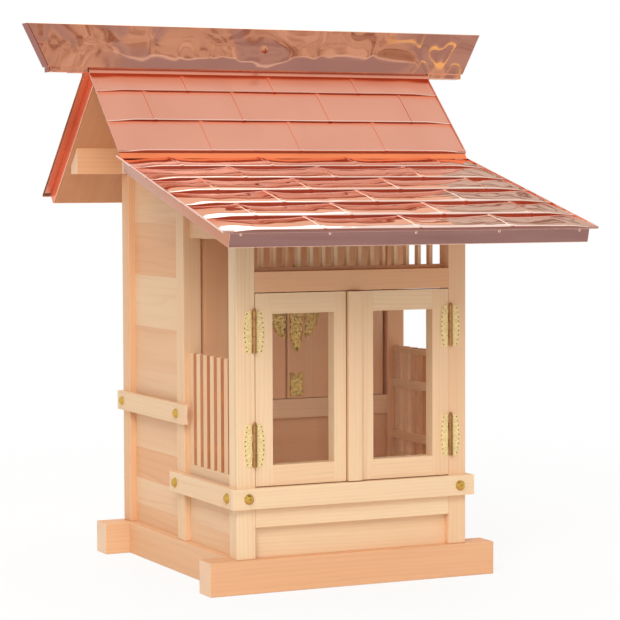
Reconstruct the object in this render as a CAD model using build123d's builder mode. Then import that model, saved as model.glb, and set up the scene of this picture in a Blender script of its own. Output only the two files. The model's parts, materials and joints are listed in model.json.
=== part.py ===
"""Small outdoor wooden shrine: a glazed front room, an inner sanctuary and a copper-clad roof.

X runs to the right, Y to the back and Z up.  The front faces -Y and the origin is on the ground,
under the middle of the roof.
"""
import os
from math import ceil, cos, radians, sin, sqrt, tan

from build123d import *

os.makedirs("parts", exist_ok=True)

# Plan: posts, bays and eaves
POST = 20.0  # side of every square post
POST_SPAN = 258.0  # across the outer faces of the left and right posts
FRONT_BAY = 138.0  # front post to middle post, centre to centre
REAR_BAY = 159.0  # middle post to rear post, centre to centre
EAVE_FRONT = 150.0  # front copper edge to the front post's centre
EAVE_REAR = 68.5  # rear copper edge to the rear post's centre
EASE = 0.6  # broken edge of a planed timber

# Sills
SILL_LENGTH = 320.0
SILL_HEIGHT = 34.0
SILL_DEPTH = 29.0
SIDE_SILL_SPAN = 264.0  # across the outer faces of the two side sills
SIDE_SILL_DEPTH = 26.0

# Rails that wrap the posts, and floors
RAIL_HEIGHT = 20.5
APRON_HEIGHT = 51.0  # sill to waist rail
WAIST_PROUD = 6.5
WAIST_TAIL = 5.7  # waist rail behind the middle post
KICK_HEIGHT = 52.0  # front room's floor to the upper rail
UPPER_PROUD = 5.0
UPPER_NOSE = 9.5  # upper rail in front of the middle post
FLOOR = 10.0

# Wall boards and panels
PANEL = 8.0
PANEL_RECESS = 6.6  # front room's side panels behind the posts' faces
WALL_RECESS = 7.5  # sanctuary's walls and front apron behind the posts' faces
APRON_BOARD = 19.5  # board under the waist rail, flush with the posts

# Side windows
LATTICE_HEIGHT = 126.0
LATTICE_FOOT = 9.5  # rail that the slats stand on
SLAT = 10.0
SLAT_COUNT = 7  # the end slats stand against the posts
SLAT_DEPTH = 4.0
BAR = 9.2
TOP_BAR = 5.0
BAR_NOTCH = 1.0  # depth of each bar let into the slats
SLAT_CREST = 1.5  # slat above its highest bar
BAR_LOWER = 30.0  # lower bar above the floor
BAR_MIDDLE = 86.0  # middle bar above the floor
LINTEL = 36.9  # panel over the window, at the front post

# Front doorway and the lattice over it
DOOR_OPENING = 194.0
HEAD_HEIGHT = 20.5
TRANSOM_RECESS = 12.5
TRANSOM_DEPTH = 7.5
TRANSOM_FOOT = 3.6
TRANSOM_LIGHT = 28.4  # open height between the slats
TRANSOM_BOARD = 33.9  # board over the slats, at its face
TRANSOM_SLAT = 3.8
TRANSOM_COUNT = 15

# Glazed doors
LEAF = 16.0  # thickness
LEAF_GAP = 1.0
MEETING_GAP = 1.2
HINGE_STILE = 18.0
LEAF_RAIL = 20.5
SIGHT_LINE = 22.0  # middle of the doorway to the edge of the glass
GLASS = 2.4
GLASS_FIT = 0.2
RABBET = 4.0
BATTEN = 15.0
BATTEN_PROUD = 4.0

# Butt hinges of the glazed doors
HINGE_HEIGHT = 42.0
HINGE_WIDTH = 11.4  # knuckle's centre to the plate's edge at mid height
HINGE_END = 8.4  # the same at the plate's ends
HINGE_SHIFT = 1.9  # knuckles towards the post from the middle of the leaf's gap
HINGE_PLATE = 1.0
HINGE_DROP = 39.0  # middle of the upper hinge under the door head
HINGE_RISE = 42.0  # middle of the lower hinge over the floor
BARREL_RADIUS = 2.2
BARREL_CLEAR = 0.15
KNUCKLE_GAP = 0.3
KNUCKLE_COUNT = 5
LOBE_SHARE = 0.56  # radius of a scallop on a plate, as a share of the scallops' spacing
LOBE_COUNT = 9
FINIAL_RADIUS = 1.7
FINIAL_SUNK_SHARE = 0.3  # part of a finial's radius that sits in its knuckle

# Inner doors
INNER_LEAF = 14.0
INNER_BATTEN = 20.0
INNER_BATTEN_PROUD = 3.0
SEAT_GAP = 0.6  # inner leaf above its threshold
THRESHOLD_BACK = 1.0  # threshold behind the middle posts' front faces
INNER_HEAD = 45.0  # board over the inner doors
HEAD_BOARD = 16.0

# Roof
ROOF_WIDTH = 404.0  # across the copper
VERGE_LIP = 8.0  # copper past the boards at each side
EAVE_LIP = 3.5  # copper past the boards at each eave
LOW_PITCH = 14.8
STEEP_PITCH = 43.5
RIDGE_RISE = 96.2  # top of the front roof's boards to the line where the main roof's boards meet
LOW_DECK = 15.0
MAIN_DECK = 13.5
TRIM = 1.5  # copper folded over the boards' ends
LAP = 4.0  # copper at the lower edge of a course
SHEET = 1.2  # copper at the upper edge of a course
LOW_COURSES = 6
STEEP_EXPOSURE = 43.0
STEP_CLEAR = 2.0  # main roof's lower edge above the front roof's copper
FLASH_RUN = 15.5  # flat strip each side of the ridge line
PURLIN_EDGE = 9.3  # purlin's height at its low edge
PURLIN_LENGTH = 376.0

# Ridge box with raked ends
RIDGE_TOP_LENGTH = 538.0
RIDGE_FOOT_LENGTH = 493.0
RIDGE_DEPTH = 19.0
RIDGE_BOX = 45.5
RIDGE_SEAT = 7.0  # box foot below the ridge line of the copper
RIDGE_BASE = 5.3  # strip under the box
RIDGE_BASE_INSET = 1.5

# Levels and lines that follow from the driving sizes
DEPTH = EAVE_FRONT + FRONT_BAY + REAR_BAY + EAVE_REAR
Y_FRONT = EAVE_FRONT - DEPTH / 2
Y_MID = Y_FRONT + FRONT_BAY
Y_REAR = Y_MID + REAR_BAY
Y_RIDGE = (Y_MID + Y_REAR) / 2
FACE = Y_FRONT - POST / 2
FRONT_BACK = Y_FRONT + POST / 2
MID_FACE = Y_MID - POST / 2
MID_BACK = Y_MID + POST / 2
REAR_FACE = Y_REAR - POST / 2
BACK = Y_REAR + POST / 2
OUTER = POST_SPAN / 2
INNER = OUTER - POST
PANEL_OUT = OUTER - PANEL_RECESS
WALL_OUT = OUTER - WALL_RECESS
WAIST_Z = SILL_HEIGHT + APRON_HEIGHT
FLOOR_TOP = WAIST_Z + RAIL_HEIGHT
FLOOR_BOTTOM = FLOOR_TOP - FLOOR
UPPER_Z = FLOOR_TOP + KICK_HEIGHT
INNER_FLOOR_TOP = UPPER_Z + RAIL_HEIGHT
DOOR_TOP = FLOOR_TOP + DOOR_OPENING
HEAD_TOP = DOOR_TOP + HEAD_HEIGHT
TRANSOM_FACE = FACE + TRANSOM_RECESS
TRANSOM_TOP = HEAD_TOP + TRANSOM_FOOT + TRANSOM_LIGHT

LOW = radians(LOW_PITCH)
STEEP = radians(STEEP_PITCH)
EAVE_FOOT_Y = LAP * sin(LOW) - DEPTH / 2
REAR_FOOT_Y = DEPTH / 2 - LAP * sin(STEEP)
DECK_SIDE = ROOF_WIDTH / 2 - VERGE_LIP - TRIM


def low_deck(y, lift=0.0):
    """Height of the front roof's boards at y, which rest on the transom, lifted square to the slope."""
    return TRANSOM_TOP + TRANSOM_BOARD + (y - TRANSOM_FACE) * tan(LOW) + (LOW_DECK + lift) / cos(LOW)


RIDGE_Z = low_deck(MID_FACE) + RIDGE_RISE


def main_deck(y, lift=0.0):
    """Height of the main roof's boards at y, lifted square to the slope."""
    return RIDGE_Z - abs(y - Y_RIDGE) * tan(STEEP) + lift / cos(STEEP)


EAVE_FOOT = (EAVE_FOOT_Y, low_deck(EAVE_FOOT_Y))
WINDOW_TOP = low_deck(FRONT_BACK, -LOW_DECK) - LINTEL
PURLIN_Z = main_deck(MID_FACE, -MAIN_DECK) - PURLIN_EDGE
INNER_TOP = PURLIN_Z - INNER_HEAD
AXIS_X = INNER - LEAF_GAP / 2 + HINGE_SHIFT
AXIS_Y = FACE - BARREL_RADIUS - BARREL_CLEAR


def save(piece, label):
    """Name a finished piece and write it to a file of its own."""
    piece.part.label = label
    export_step(piece.part, f"parts/{label}.step")


def middle(span):
    """Middle of a low and a high value."""
    return (span[0] + span[1]) / 2


def length(span):
    """Distance from a low to a high value."""
    return span[1] - span[0]


def centred(half):
    """Low and high value at the same distance from the middle."""
    return (-half, half)


def sided(side, near, far):
    """X span on the left (-1) or right (1), given by distances from the middle."""
    return (near, far) if side > 0 else (-far, -near)


def board(label, x, y, z, ease=0.0):
    """One squared timber between low and high faces, with broken edges where asked."""
    with BuildPart() as piece:
        with BuildSketch(Plane.XY.offset(z[0])):
            with Locations((middle(x), middle(y))):
                Rectangle(length(x), length(y))
        extrude(amount=length(z))
        if ease:
            chamfer(piece.edges(), ease)
    save(piece, label)


def profile(label, outline, x, ease=0.0):
    """One piece with a constant side outline (Y, Z) between two X values, and broken edges where asked."""
    with BuildPart() as piece:
        with BuildSketch(Plane.YZ.offset(x[0])):
            with BuildLine():
                Polyline(*outline, close=True)
            make_face()
        extrude(amount=length(x))
        if ease:
            chamfer(piece.edges(), ease)
    save(piece, label)


def front_plane(y):
    """Upright plane at y whose local axes are X and Z, and whose normal faces the front."""
    return Plane.XZ.offset(-y)


SIDES = ((-1, "left"), (1, "right"))

# Sills
for label, y in (("front_sill", Y_FRONT), ("rear_sill", Y_REAR)):
    sill_y = (y - SILL_DEPTH / 2, y + SILL_DEPTH / 2)
    board(label, centred(SILL_LENGTH / 2), sill_y, (0, SILL_HEIGHT), EASE)
for side, name in SIDES:
    sill_x = sided(side, SIDE_SILL_SPAN / 2 - SIDE_SILL_DEPTH, SIDE_SILL_SPAN / 2)
    sill_y = (Y_FRONT + SILL_DEPTH / 2, Y_REAR - SILL_DEPTH / 2)
    board(f"{name}_sill", sill_x, sill_y, (0, SILL_HEIGHT), EASE)

# Posts: the front ones are cut to the slope of the front roof
for side, name in SIDES:
    post_x = sided(side, INNER, OUTER)
    front_outline = [
        (FACE, SILL_HEIGHT),
        (FRONT_BACK, SILL_HEIGHT),
        (FRONT_BACK, low_deck(FRONT_BACK, -LOW_DECK)),
        (FACE, low_deck(FACE, -LOW_DECK)),
    ]
    profile(f"{name}_front_post", front_outline, post_x, EASE)
    board(f"{name}_middle_post", post_x, (MID_FACE, MID_BACK), (SILL_HEIGHT, PURLIN_Z), EASE)
    board(f"{name}_rear_post", post_x, (REAR_FACE, BACK), (SILL_HEIGHT, PURLIN_Z), EASE)

# Sanctuary walls: each side wall rises between the purlins to the roof boards
for side, name in SIDES:
    gable_outline = [
        (MID_BACK, SILL_HEIGHT),
        (REAR_FACE, SILL_HEIGHT),
        (REAR_FACE, main_deck(REAR_FACE, -MAIN_DECK)),
        (Y_RIDGE, main_deck(Y_RIDGE, -MAIN_DECK)),
        (MID_BACK, main_deck(MID_BACK, -MAIN_DECK)),
    ]
    profile(f"{name}_wall", gable_outline, sided(side, WALL_OUT - PANEL, WALL_OUT))
rear_wall_y = (BACK - WALL_RECESS - PANEL, BACK - WALL_RECESS)
board("rear_wall", centred(INNER), rear_wall_y, (SILL_HEIGHT, PURLIN_Z))

# Aprons under the front room
for side, name in SIDES:
    apron_x = sided(side, PANEL_OUT - PANEL, PANEL_OUT)
    board(f"{name}_apron", apron_x, (FRONT_BACK, MID_FACE), (SILL_HEIGHT, FLOOR_BOTTOM))
apron_face = FACE + WALL_RECESS
front_apron_outline = [
    (apron_face, SILL_HEIGHT),
    (apron_face + PANEL, SILL_HEIGHT),
    (apron_face + PANEL, FLOOR_BOTTOM),
    (FACE, FLOOR_BOTTOM),
    (FACE, WAIST_Z - APRON_BOARD),
    (apron_face, WAIST_Z - APRON_BOARD),
]
profile("front_apron", front_apron_outline, centred(INNER))

# Waist rail round the front and sides of the front room
waist_y = (FACE - WAIST_PROUD, MID_BACK + WAIST_TAIL)
with BuildPart() as waist_rail:
    with BuildSketch(Plane.XY.offset(WAIST_Z)):
        with Locations((0, middle(waist_y))):
            Rectangle(POST_SPAN + 2 * WAIST_PROUD, length(waist_y))
        with Locations((0, middle(waist_y) + WAIST_PROUD / 2)):
            Rectangle(POST_SPAN, length(waist_y) - WAIST_PROUD, mode=Mode.SUBTRACT)
    extrude(amount=RAIL_HEIGHT)
save(waist_rail, "waist_rail")

# Upper rail round the sides and rear of the sanctuary
upper_y = (MID_FACE - UPPER_NOSE, BACK + UPPER_PROUD)
with BuildPart() as upper_rail:
    with BuildSketch(Plane.XY.offset(UPPER_Z)):
        with Locations((0, middle(upper_y))):
            Rectangle(POST_SPAN + 2 * UPPER_PROUD, length(upper_y))
        with Locations((0, middle(upper_y) - UPPER_PROUD / 2)):
            Rectangle(POST_SPAN, length(upper_y) - UPPER_PROUD, mode=Mode.SUBTRACT)
    extrude(amount=RAIL_HEIGHT)
save(upper_rail, "upper_rail")


def floor(label, half_width, y, top, post_rows):
    """Floor board notched round the posts that it meets."""
    with BuildPart() as piece:
        with BuildSketch(Plane.XY.offset(top - FLOOR)):
            with Locations((0, middle(y))):
                Rectangle(2 * half_width, length(y))
            with Locations([(side * (OUTER - POST / 2), row) for side, _ in SIDES for row in post_rows]):
                Rectangle(POST, POST, mode=Mode.SUBTRACT)
        extrude(amount=FLOOR)
    save(piece, label)


floor("front_floor", PANEL_OUT, (FACE, MID_BACK), FLOOR_TOP, (Y_FRONT, Y_MID))
floor("inner_floor", WALL_OUT - PANEL, (MID_BACK, rear_wall_y[0]), INNER_FLOOR_TOP, (Y_REAR,))

# Side windows of the front room: lattice below, open above, panel over the opening
for side, name in SIDES:
    panel_x = sided(side, PANEL_OUT - PANEL, PANEL_OUT)
    slat_x = sided(side, PANEL_OUT - SLAT_DEPTH, PANEL_OUT)
    bar_x = sided(side, PANEL_OUT - PANEL, PANEL_OUT - SLAT_DEPTH + BAR_NOTCH)
    window_y = (FRONT_BACK, MID_FACE)
    slat_pitch = (length(window_y) - SLAT) / (SLAT_COUNT - 1)
    top_level = LATTICE_HEIGHT - SLAT_CREST - TOP_BAR / 2
    bars = ((BAR_LOWER, BAR), (BAR_MIDDLE, BAR), (top_level, TOP_BAR))
    with BuildPart() as lattice:
        with BuildSketch(Plane.XY.offset(FLOOR_TOP)):
            with Locations((middle(panel_x), middle(window_y))):
                Rectangle(length(panel_x), length(window_y))
        extrude(amount=LATTICE_FOOT)
        with BuildSketch(Plane.XY.offset(FLOOR_TOP + LATTICE_FOOT)):
            with Locations((middle(slat_x), middle(window_y))):
                with GridLocations(0, slat_pitch, 1, SLAT_COUNT):
                    Rectangle(SLAT_DEPTH, SLAT)
        extrude(amount=LATTICE_HEIGHT - LATTICE_FOOT)
        for level, height in bars:
            with BuildSketch(Plane.XY.offset(FLOOR_TOP + level - height / 2)):
                with Locations((middle(bar_x), middle(window_y))):
                    Rectangle(length(bar_x), length(window_y))
            extrude(amount=height)
    save(lattice, f"{name}_window_lattice")
    lintel_outline = [
        (FRONT_BACK, WINDOW_TOP),
        (MID_FACE, WINDOW_TOP),
        (MID_FACE, low_deck(MID_FACE, -LOW_DECK)),
        (FRONT_BACK, low_deck(FRONT_BACK, -LOW_DECK)),
    ]
    profile(f"{name}_window_lintel", lintel_outline, panel_x)

# Door head and the lattice over it
board("door_head", centred(INNER), (FACE, FRONT_BACK), (DOOR_TOP, HEAD_TOP))
transom_y = (TRANSOM_FACE, TRANSOM_FACE + TRANSOM_DEPTH)
transom_pitch = 2 * INNER / (TRANSOM_COUNT + 1)
with BuildPart() as transom:
    with BuildSketch(Plane.XY.offset(HEAD_TOP)):
        with Locations((0, middle(transom_y))):
            Rectangle(2 * INNER, TRANSOM_DEPTH)
    extrude(amount=TRANSOM_FOOT)
    with BuildSketch(Plane.XY.offset(HEAD_TOP + TRANSOM_FOOT)):
        with Locations((0, middle(transom_y))):
            with GridLocations(transom_pitch, 0, TRANSOM_COUNT, 1):
                Rectangle(TRANSOM_SLAT, TRANSOM_DEPTH)
    extrude(amount=TRANSOM_LIGHT)
    with BuildSketch(Plane.YZ.offset(-INNER)):
        with BuildLine():
            Polyline(
                (transom_y[0], TRANSOM_TOP),
                (transom_y[1], TRANSOM_TOP),
                (transom_y[1], low_deck(transom_y[1], -LOW_DECK)),
                (transom_y[0], low_deck(transom_y[0], -LOW_DECK)),
                close=True,
            )
        make_face()
    extrude(amount=2 * INNER)
save(transom, "transom_lattice")

# Wall between the front room and the sanctuary
kick_y = (Y_MID - PANEL / 2, Y_MID + PANEL / 2)
board("inner_kick_panel", centred(INNER), kick_y, (FLOOR_TOP, UPPER_Z))
board("inner_threshold", centred(INNER), (MID_FACE + THRESHOLD_BACK, MID_BACK), (UPPER_Z, INNER_FLOOR_TOP))
board("inner_head", centred(INNER), (Y_MID - HEAD_BOARD / 2, Y_MID + HEAD_BOARD / 2), (INNER_TOP, PURLIN_Z))

# Glazed doors: the meeting line runs along the batten's left edge, and each meeting edge slopes back
# so that the leaf's rear corner swings no further out than its front one
leaf_z = (FLOOR_TOP + LEAF_GAP, DOOR_TOP - LEAF_GAP)
light_z = (leaf_z[0] + LEAF_RAIL, leaf_z[1] - LEAF_RAIL)
meeting_edges = {"left": -BATTEN / 2 - MEETING_GAP, "right": -BATTEN / 2}
for side, name in SIDES:
    meeting_x = meeting_edges[name]
    leaf_x = sorted((meeting_x, side * (INNER - LEAF_GAP)))
    swing = abs(meeting_x - side * AXIS_X)
    bevel = swing - sqrt(swing**2 - (FACE + LEAF - AXIS_Y) ** 2)
    light_x = sided(side, SIGHT_LINE, INNER - LEAF_GAP - HINGE_STILE)
    glass_y = FACE + LEAF - GLASS
    with BuildPart() as door:
        with BuildSketch(front_plane(FACE)):
            with Locations((middle(leaf_x), middle(leaf_z))):
                Rectangle(length(leaf_x), length(leaf_z))
            with Locations((middle(light_x), middle(light_z))):
                Rectangle(length(light_x), length(light_z), mode=Mode.SUBTRACT)
        extrude(amount=-LEAF)
        with BuildSketch(front_plane(glass_y)):
            with Locations((middle(light_x), middle(light_z))):
                Rectangle(length(light_x) + 2 * RABBET, length(light_z) + 2 * RABBET)
        extrude(amount=-GLASS, mode=Mode.SUBTRACT)
        with BuildSketch(Plane.XY.offset(leaf_z[0])):
            with BuildLine():
                Polyline(
                    (meeting_x, FACE),
                    (meeting_x, FACE + LEAF),
                    (meeting_x + side * bevel, FACE + LEAF),
                    close=True,
                )
            make_face()
        extrude(amount=length(leaf_z), mode=Mode.SUBTRACT)
        if name == "right":
            with BuildSketch(front_plane(FACE)):
                with Locations((0, middle(leaf_z))):
                    Rectangle(BATTEN, length(leaf_z))
            extrude(amount=BATTEN_PROUD)
    save(door, f"{name}_door")
    with BuildPart() as glass:
        with BuildSketch(front_plane(glass_y)):
            with Locations((middle(light_x), middle(light_z))):
                pane = 2 * (RABBET - GLASS_FIT)
                Rectangle(length(light_x) + pane, length(light_z) + pane)
        extrude(amount=-GLASS)
    save(glass, f"{name}_door_glass")

# Butt hinges: scalloped plates, odd knuckles on the post and even ones on the door
KNUCKLE = HINGE_HEIGHT / KNUCKLE_COUNT
PLATE_NEAR = BARREL_RADIUS + KNUCKLE_GAP
LOBE = HINGE_HEIGHT / LOBE_COUNT * LOBE_SHARE
LOBE_PITCH = (HINGE_HEIGHT - 2 * LOBE) / (LOBE_COUNT - 1)


def hinge_leaf(axis_x, outward, level, knuckles):
    """One plate with its knuckles; outward is the plate's X direction from the axis."""
    lobes = []
    for number in range(LOBE_COUNT):
        offset = (number - (LOBE_COUNT - 1) / 2) * LOBE_PITCH
        bulge = 1 - (2 * offset / HINGE_HEIGHT) ** 2
        lobes.append((axis_x + outward * (HINGE_END + (HINGE_WIDTH - HINGE_END) * bulge - LOBE), level + offset))
    near_x = axis_x + outward * PLATE_NEAR
    foot_z = level - HINGE_HEIGHT / 2
    head_z = level + HINGE_HEIGHT / 2
    knuckle_levels = [level + (number - (KNUCKLE_COUNT - 1) / 2) * KNUCKLE for number in knuckles]
    with BuildPart() as leaf:
        with BuildSketch(front_plane(FACE)):
            with BuildLine():
                edge = [(lobes[0][0], foot_z), *lobes, (lobes[-1][0], head_z)]
                Polyline((near_x, foot_z), *edge, (near_x, head_z), close=True)
            make_face()
            with Locations(lobes):
                Circle(LOBE)
        extrude(amount=HINGE_PLATE)
        with BuildSketch(front_plane(FACE - BARREL_CLEAR)):
            with Locations([(axis_x + outward * PLATE_NEAR / 2, z) for z in knuckle_levels]):
                Rectangle(PLATE_NEAR + KNUCKLE_GAP, KNUCKLE - KNUCKLE_GAP)
        extrude(amount=HINGE_PLATE)
        for z in knuckle_levels:
            with BuildSketch(Plane.XY.offset(z - (KNUCKLE - KNUCKLE_GAP) / 2)):
                with Locations((axis_x, AXIS_Y)):
                    Circle(BARREL_RADIUS)
            extrude(amount=KNUCKLE - KNUCKLE_GAP)
        if 0 in knuckles:
            finial_rise = (HINGE_HEIGHT - KNUCKLE_GAP) / 2 + FINIAL_RADIUS * (1 - FINIAL_SUNK_SHARE)
            with Locations((axis_x, AXIS_Y, level + finial_rise)):
                Sphere(FINIAL_RADIUS)
    return leaf.part


HINGE_LEVELS = (FLOOR_TOP + HINGE_RISE, DOOR_TOP - HINGE_DROP)
post_knuckles = range(0, KNUCKLE_COUNT, 2)
door_knuckles = range(1, KNUCKLE_COUNT, 2)
post_leaves = [hinge_leaf(side * AXIS_X, side, z, post_knuckles) for side, _ in SIDES for z in HINGE_LEVELS]
with BuildPart() as post_hinges:
    add(post_leaves)
save(post_hinges, "post_hinge_leaves")
for side, name in SIDES:
    door_leaves = [hinge_leaf(side * AXIS_X, -side, z, door_knuckles) for z in HINGE_LEVELS]
    with BuildPart() as door_hinges:
        add(door_leaves)
    save(door_hinges, f"{name}_door_hinge_leaves")

# Inner doors: each turns on its round heel edge
inner_edges = {"left": -INNER_BATTEN / 2 - MEETING_GAP, "right": -INNER_BATTEN / 2}
inner_z = (INNER_FLOOR_TOP + SEAT_GAP, INNER_TOP - SEAT_GAP)
HEEL_X = INNER - LEAF_GAP - INNER_LEAF / 2
for side, name in SIDES:
    heel_x = side * HEEL_X
    leaf_x = sorted((heel_x, inner_edges[name]))
    with BuildPart() as inner_door:
        with BuildSketch(Plane.XY.offset(inner_z[0])):
            with Locations((middle(leaf_x), Y_MID)):
                Rectangle(length(leaf_x), INNER_LEAF)
            with Locations((heel_x, Y_MID)):
                Circle(INNER_LEAF / 2)
            if name == "right":
                with Locations((0, Y_MID - INNER_LEAF / 2 - INNER_BATTEN_PROUD / 2)):
                    Rectangle(INNER_BATTEN, INNER_BATTEN_PROUD)
        extrude(amount=length(inner_z))
    save(inner_door, f"{name}_inner_door")

# Purlins under the main roof's two slopes, running out to the verges
for label, outline_y in (("middle_purlin", (MID_FACE, MID_BACK)), ("rear_purlin", (REAR_FACE, BACK))):
    purlin_outline = [
        (outline_y[0], PURLIN_Z),
        (outline_y[1], PURLIN_Z),
        (outline_y[1], main_deck(outline_y[1], -MAIN_DECK)),
        (outline_y[0], main_deck(outline_y[0], -MAIN_DECK)),
    ]
    profile(label, purlin_outline, centred(PURLIN_LENGTH / 2))

# Roof boards: the front roof runs from its square-cut eave up to the middle purlin
board_eave_y = EAVE_FOOT[0] + (EAVE_LIP + TRIM) * cos(LOW)
low_outline = [
    (board_eave_y, low_deck(board_eave_y)),
    (board_eave_y + LOW_DECK * sin(LOW), low_deck(board_eave_y) - LOW_DECK * cos(LOW)),
    (MID_FACE, low_deck(MID_FACE, -LOW_DECK)),
    (MID_FACE, low_deck(MID_FACE)),
]
profile("front_roof_boards", low_outline, centred(DECK_SIDE))


def step_height(y):
    """Level on which the main roof's front edge stands over the front roof."""
    return low_deck(y, LAP + STEP_CLEAR)


# The steep front boards end in a notch that clears the top of the front roof
step_edge_y = Y_RIDGE - (RIDGE_Z - step_height(Y_RIDGE)) / (tan(STEEP) - tan(LOW))
steep_outline = [
    (Y_RIDGE, RIDGE_Z),
    (step_edge_y, main_deck(step_edge_y)),
    (MID_FACE, step_height(MID_FACE)),
    (MID_FACE, main_deck(MID_FACE, -MAIN_DECK)),
    (Y_RIDGE, main_deck(Y_RIDGE, -MAIN_DECK)),
]
profile("steep_roof_boards", steep_outline, centred(DECK_SIDE))
rear_eave_y = REAR_FOOT_Y - (EAVE_LIP + TRIM) * cos(STEEP)
rear_outline = [
    (Y_RIDGE, RIDGE_Z),
    (rear_eave_y, main_deck(rear_eave_y)),
    (rear_eave_y - MAIN_DECK * sin(STEEP), main_deck(rear_eave_y) - MAIN_DECK * cos(STEEP)),
    (Y_RIDGE, main_deck(Y_RIDGE, -MAIN_DECK)),
]
profile("rear_roof_boards", rear_outline, centred(DECK_SIDE))


def courses(foot, facing, pitch, slope_length, exposure):
    """Sawtooth top of overlapping copper courses, from the eave foot up the slope."""
    along = (facing * cos(pitch), sin(pitch))
    out = (-facing * sin(pitch), cos(pitch))
    points = []
    for number in range(ceil(slope_length / exposure)):
        low = number * exposure
        high = min(low + exposure, slope_length)
        thin = LAP - (LAP - SHEET) * (high - low) / exposure
        for run, rise in ((low, LAP), (high, thin)):
            points.append((foot[0] + run * along[0] + rise * out[0], foot[1] + run * along[1] + rise * out[1]))
    return points


# Copper courses
low_length = (MID_FACE - EAVE_FOOT[0]) / cos(LOW) - LAP * tan(LOW)
low_copper = [EAVE_FOOT, *courses(EAVE_FOOT, 1, LOW, low_length, low_length / LOW_COURSES)]
low_copper.append((EAVE_FOOT[0] + low_length * cos(LOW), EAVE_FOOT[1] + low_length * sin(LOW)))
profile("front_roof_copper", low_copper, centred(ROOF_WIDTH / 2))


def ridge_strip(facing):
    """Flat copper strip from the top course to the ridge line, then down to the boards."""
    edge_y = Y_RIDGE - facing * FLASH_RUN
    return [(edge_y, main_deck(edge_y, LAP)), (Y_RIDGE, main_deck(Y_RIDGE, LAP)), (Y_RIDGE, RIDGE_Z)]


for label, facing, foot_y in (("steep_roof_copper", 1, step_edge_y), ("rear_roof_copper", -1, REAR_FOOT_Y)):
    foot = (foot_y, main_deck(foot_y))
    slope_length = (abs(Y_RIDGE - foot_y) - FLASH_RUN) / cos(STEEP) + LAP * tan(STEEP)
    copper = [foot, *courses(foot, facing, STEEP, slope_length, STEEP_EXPOSURE), *ridge_strip(facing)]
    profile(label, copper, centred(ROOF_WIDTH / 2))

# Copper folded over the ends of the roof boards
with BuildPart() as front_trim:
    with BuildSketch(Plane.YZ.offset(-DECK_SIDE - TRIM)):
        with BuildLine():
            fascia_y = EAVE_FOOT[0] + EAVE_LIP * cos(LOW)
            Polyline(
                (fascia_y, low_deck(fascia_y)),
                (fascia_y + LOW_DECK * sin(LOW), low_deck(fascia_y) - LOW_DECK * cos(LOW)),
                (MID_FACE, low_deck(MID_FACE, -LOW_DECK)),
                (MID_FACE, low_deck(MID_FACE)),
                close=True,
            )
        make_face()
    extrude(amount=2 * (DECK_SIDE + TRIM))
    with BuildSketch(Plane.YZ.offset(-DECK_SIDE)):
        with BuildLine():
            Polyline(*low_outline, close=True)
        make_face()
    extrude(amount=2 * DECK_SIDE, mode=Mode.SUBTRACT)
save(front_trim, "front_roof_trim")

with BuildPart() as main_trim:
    with BuildSketch(Plane.YZ.offset(-DECK_SIDE - TRIM)):
        with BuildLine():
            fascia_y = REAR_FOOT_Y - EAVE_LIP * cos(STEEP)
            Polyline(
                *steep_outline[:-1],
                (Y_RIDGE, main_deck(Y_RIDGE, -MAIN_DECK)),
                (fascia_y - MAIN_DECK * sin(STEEP), main_deck(fascia_y) - MAIN_DECK * cos(STEEP)),
                (fascia_y, main_deck(fascia_y)),
                close=True,
            )
        make_face()
    extrude(amount=2 * (DECK_SIDE + TRIM))
    for outline in (steep_outline, rear_outline):
        with BuildSketch(Plane.YZ.offset(-DECK_SIDE)):
            with BuildLine():
                Polyline(*outline, close=True)
            make_face()
        extrude(amount=2 * DECK_SIDE, mode=Mode.SUBTRACT)
save(main_trim, "main_roof_trim")

# Ridge box: raked ends, a narrower strip below it, and a seat cut to the roof's two slopes
box_foot = main_deck(Y_RIDGE, LAP) - RIDGE_SEAT
box_top = box_foot + RIDGE_BOX
base_foot = box_foot - RIDGE_BASE
seat_y = RIDGE_DEPTH
with BuildPart() as ridge:
    with BuildSketch(front_plane(Y_RIDGE)):
        with BuildLine():
            Polyline(
                (-RIDGE_TOP_LENGTH / 2, box_top),
                (RIDGE_TOP_LENGTH / 2, box_top),
                (RIDGE_FOOT_LENGTH / 2, box_foot),
                (-RIDGE_FOOT_LENGTH / 2, box_foot),
                close=True,
            )
        make_face()
    extrude(amount=RIDGE_DEPTH / 2, both=True)
    with BuildSketch(front_plane(Y_RIDGE)):
        with Locations((0, middle((base_foot, box_foot)))):
            Rectangle(RIDGE_FOOT_LENGTH - 2 * RIDGE_BASE_INSET, RIDGE_BASE)
    extrude(amount=RIDGE_DEPTH / 2 - RIDGE_BASE_INSET, both=True)
    with BuildSketch(Plane.YZ.offset(-ROOF_WIDTH / 2)):
        with BuildLine():
            Polyline(
                (Y_RIDGE - seat_y, main_deck(Y_RIDGE - seat_y, LAP)),
                (Y_RIDGE, main_deck(Y_RIDGE, LAP)),
                (Y_RIDGE + seat_y, main_deck(Y_RIDGE + seat_y, LAP)),
                close=True,
            )
        make_face()
    extrude(amount=ROOF_WIDTH, mode=Mode.SUBTRACT)
save(ridge, "ridge_box")
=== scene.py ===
"""Finish, fittings and studio for a small wooden shrine with a copper roof.

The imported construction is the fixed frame.  Each operator dresses one group of its pieces: planed
cypress for the timbers, lapped copper sheets for the roofs, pressed brass for the fittings, and a
stage with lights and a camera.  Lengths are in metres, in the frame's own axes: X to the right,
Y to the back and Z up.
"""
import json
import math
import random
from functools import partialmethod

import bmesh
import bpy
from bpy.props import FloatProperty, FloatVectorProperty, IntProperty, PointerProperty
from mathutils import Matrix, Vector, noise

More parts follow.
